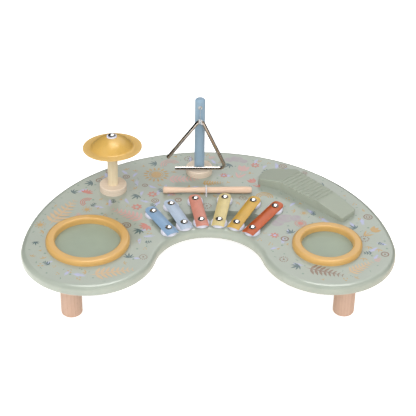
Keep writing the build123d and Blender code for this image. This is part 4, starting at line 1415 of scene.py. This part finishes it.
class MUSICTABLE_OT_stage(Operator):
    """Lay the floor, hang the lights and set the camera"""

    bl_idname = "musictable.stage"
    bl_label = "Stage"

    def execute(self, context):
        scene = context.scene
        stage = scene.table_stage
        scene.view_settings.view_transform = "Standard"
        self.floor(stage)
        self.sky(scene, stage)
        for name, power, size, place in LIGHTS:
            self.light(name, getattr(stage, power), size, place)
        camera = show(bpy.data.cameras.new("camera"), "camera")
        camera.location = stage.camera_place
        camera.rotation_euler = stage.camera_turn
        camera.data.lens = stage.lens
        camera.data.sensor_width = 36
        scene.camera = camera
        return {"FINISHED"}

    def floor(self, stage):
        """A plain pale floor, lit a little from within so that it stays pale under the table. Bright
        metal mirrors it as tan that deepens to the right, and as black behind the table and far away."""
        half = stage.floor_size / 2
        mesh = bpy.data.meshes.new("floor")
        corners = [(-half, -half, 0), (half, -half, 0), (half, half, 0), (-half, half, 0)]
        mesh.from_pydata(corners, [], [(0, 1, 2, 3)])
        material, shader, spot = new_material("floor")
        cloudy = spot.noise(0.8).fit(0.3, 0.7, 0.99, 1.0)
        colour = {0: linear(stage.floor)[:3], "Scale": cloudy}
        pale = put(spot.tree, "ShaderNodeVectorMath", colour, operation="SCALE")[0]
        rays = put(spot.tree, "ShaderNodeLightPath")
        across = spot.part("X").fit(-0.3, 0.3).mix(FLOOR_LEFT, FLOOR_RIGHT)
        near = spot.length().fit(1.0, 1.5).mix(across, UNLIT_FLOOR)
        studio = spot.part("Y").fit(0.15, 0.5).mix(near, UNLIT_FLOOR)
        feed(shader, {
            "Base Color": rays["Is Glossy Ray"].mix(pale, studio),
            "Emission Color": rays["Is Camera Ray"].mix(rays["Is Glossy Ray"].mix(BLACK, studio), WHITE),
            "Emission Strength": stage.floor_glow,
            "Roughness": 0.9,
        })
        mesh.materials.append(material)
        show(mesh, "floor")

    def sky(self, scene, stage):
        """Soft light from all round, and a studio for reflections: dark in front and at the back
        corners, with a large pale card above and behind the table, a small bright ceiling light
        and a low tan card in front on the right. The camera sees plain white."""
        world = bpy.data.worlds.new("studio")
        world.use_nodes = True
        tree = world.node_tree
        direction = put(tree, "ShaderNodeTexCoord")["Generated"]
        frontal = direction.part("Y").fit(-1.0, 0.6, 1.75, 0.72)
        even = direction.part("Z").fit(0.0, 0.8).mix(SKY_LOW, SKY_HIGH).scaled(frontal)
        studio = STUDIO
        for towards, edge, inside, card in CARDS:
            aim = {0: direction, 1: towards}
            near = put(tree, "ShaderNodeVectorMath", aim, operation="DOT_PRODUCT")["Value"]
            studio = near.fit(edge, inside).mix(studio, card)
        rays = put(tree, "ShaderNodeLightPath")
        lit_sky = rays["Is Camera Ray"].mix(rays["Is Glossy Ray"].mix(even, studio), BACKDROP)
        feed(tree.nodes["Background"].inputs, {"Color": lit_sky, "Strength": stage.sky_light})
        scene.world = world

    def light(self, name, power, size, place):
        """A large square soft light that faces the table and isn't mirrored."""
        lamp = bpy.data.lights.new(name, "AREA")
        lamp.energy = power
        lamp.size = size
        holder = show(lamp, name)
        holder.location = place
        holder.rotation_euler = (AIM - Vector(place)).to_track_quat("-Z", "Y").to_euler()
        holder.visible_glossy = False


class MUSICTABLE_PT_panel(Panel):
    """The table's pieces and settings"""

    bl_label = "Music Table"
    bl_idname = "MUSICTABLE_PT_panel"
    bl_space_type = "VIEW_3D"
    bl_region_type = "UI"
    bl_category = "Music Table"

    def draw(self, context):
        for operator in OPERATORS:
            self.layout.operator(operator.bl_idname)
        for name in GROUPS:
            group = getattr(context.scene, name)
            box = self.layout.box()
            for key in group.bl_rna.properties.keys():
                if key not in ("rna_type", "name"):
                    box.prop(group, key)


OPERATORS = (
    MUSICTABLE_OT_finishes,
    MUSICTABLE_OT_stage,
    MUSICTABLE_OT_board,
    MUSICTABLE_OT_print,
    MUSICTABLE_OT_drums,
    MUSICTABLE_OT_bars,
    MUSICTABLE_OT_cymbal,
    MUSICTABLE_OT_triangle,
    MUSICTABLE_OT_scraper,
    MUSICTABLE_OT_mallet,
)
CLASSES = (*GROUPS.values(), *OPERATORS, MUSICTABLE_PT_panel)


def register():
    """Make the settings, operators and panel known."""
    for kind in CLASSES:
        bpy.utils.register_class(kind)
    for name, group in GROUPS.items():
        setattr(bpy.types.Scene, name, PointerProperty(type=group))


def unregister():
    """Take the settings, operators and panel away again."""
    for name in GROUPS:
        delattr(bpy.types.Scene, name)
    for kind in reversed(CLASSES):
        bpy.utils.unregister_class(kind)


def main():
    """Dress the whole table."""
    register()
    for operator in OPERATORS:
        getattr(bpy.ops.musictable, operator.bl_idname.split(".")[1])()
    bpy.context.view_layer.update()


if __name__ == "__main__":
    main()
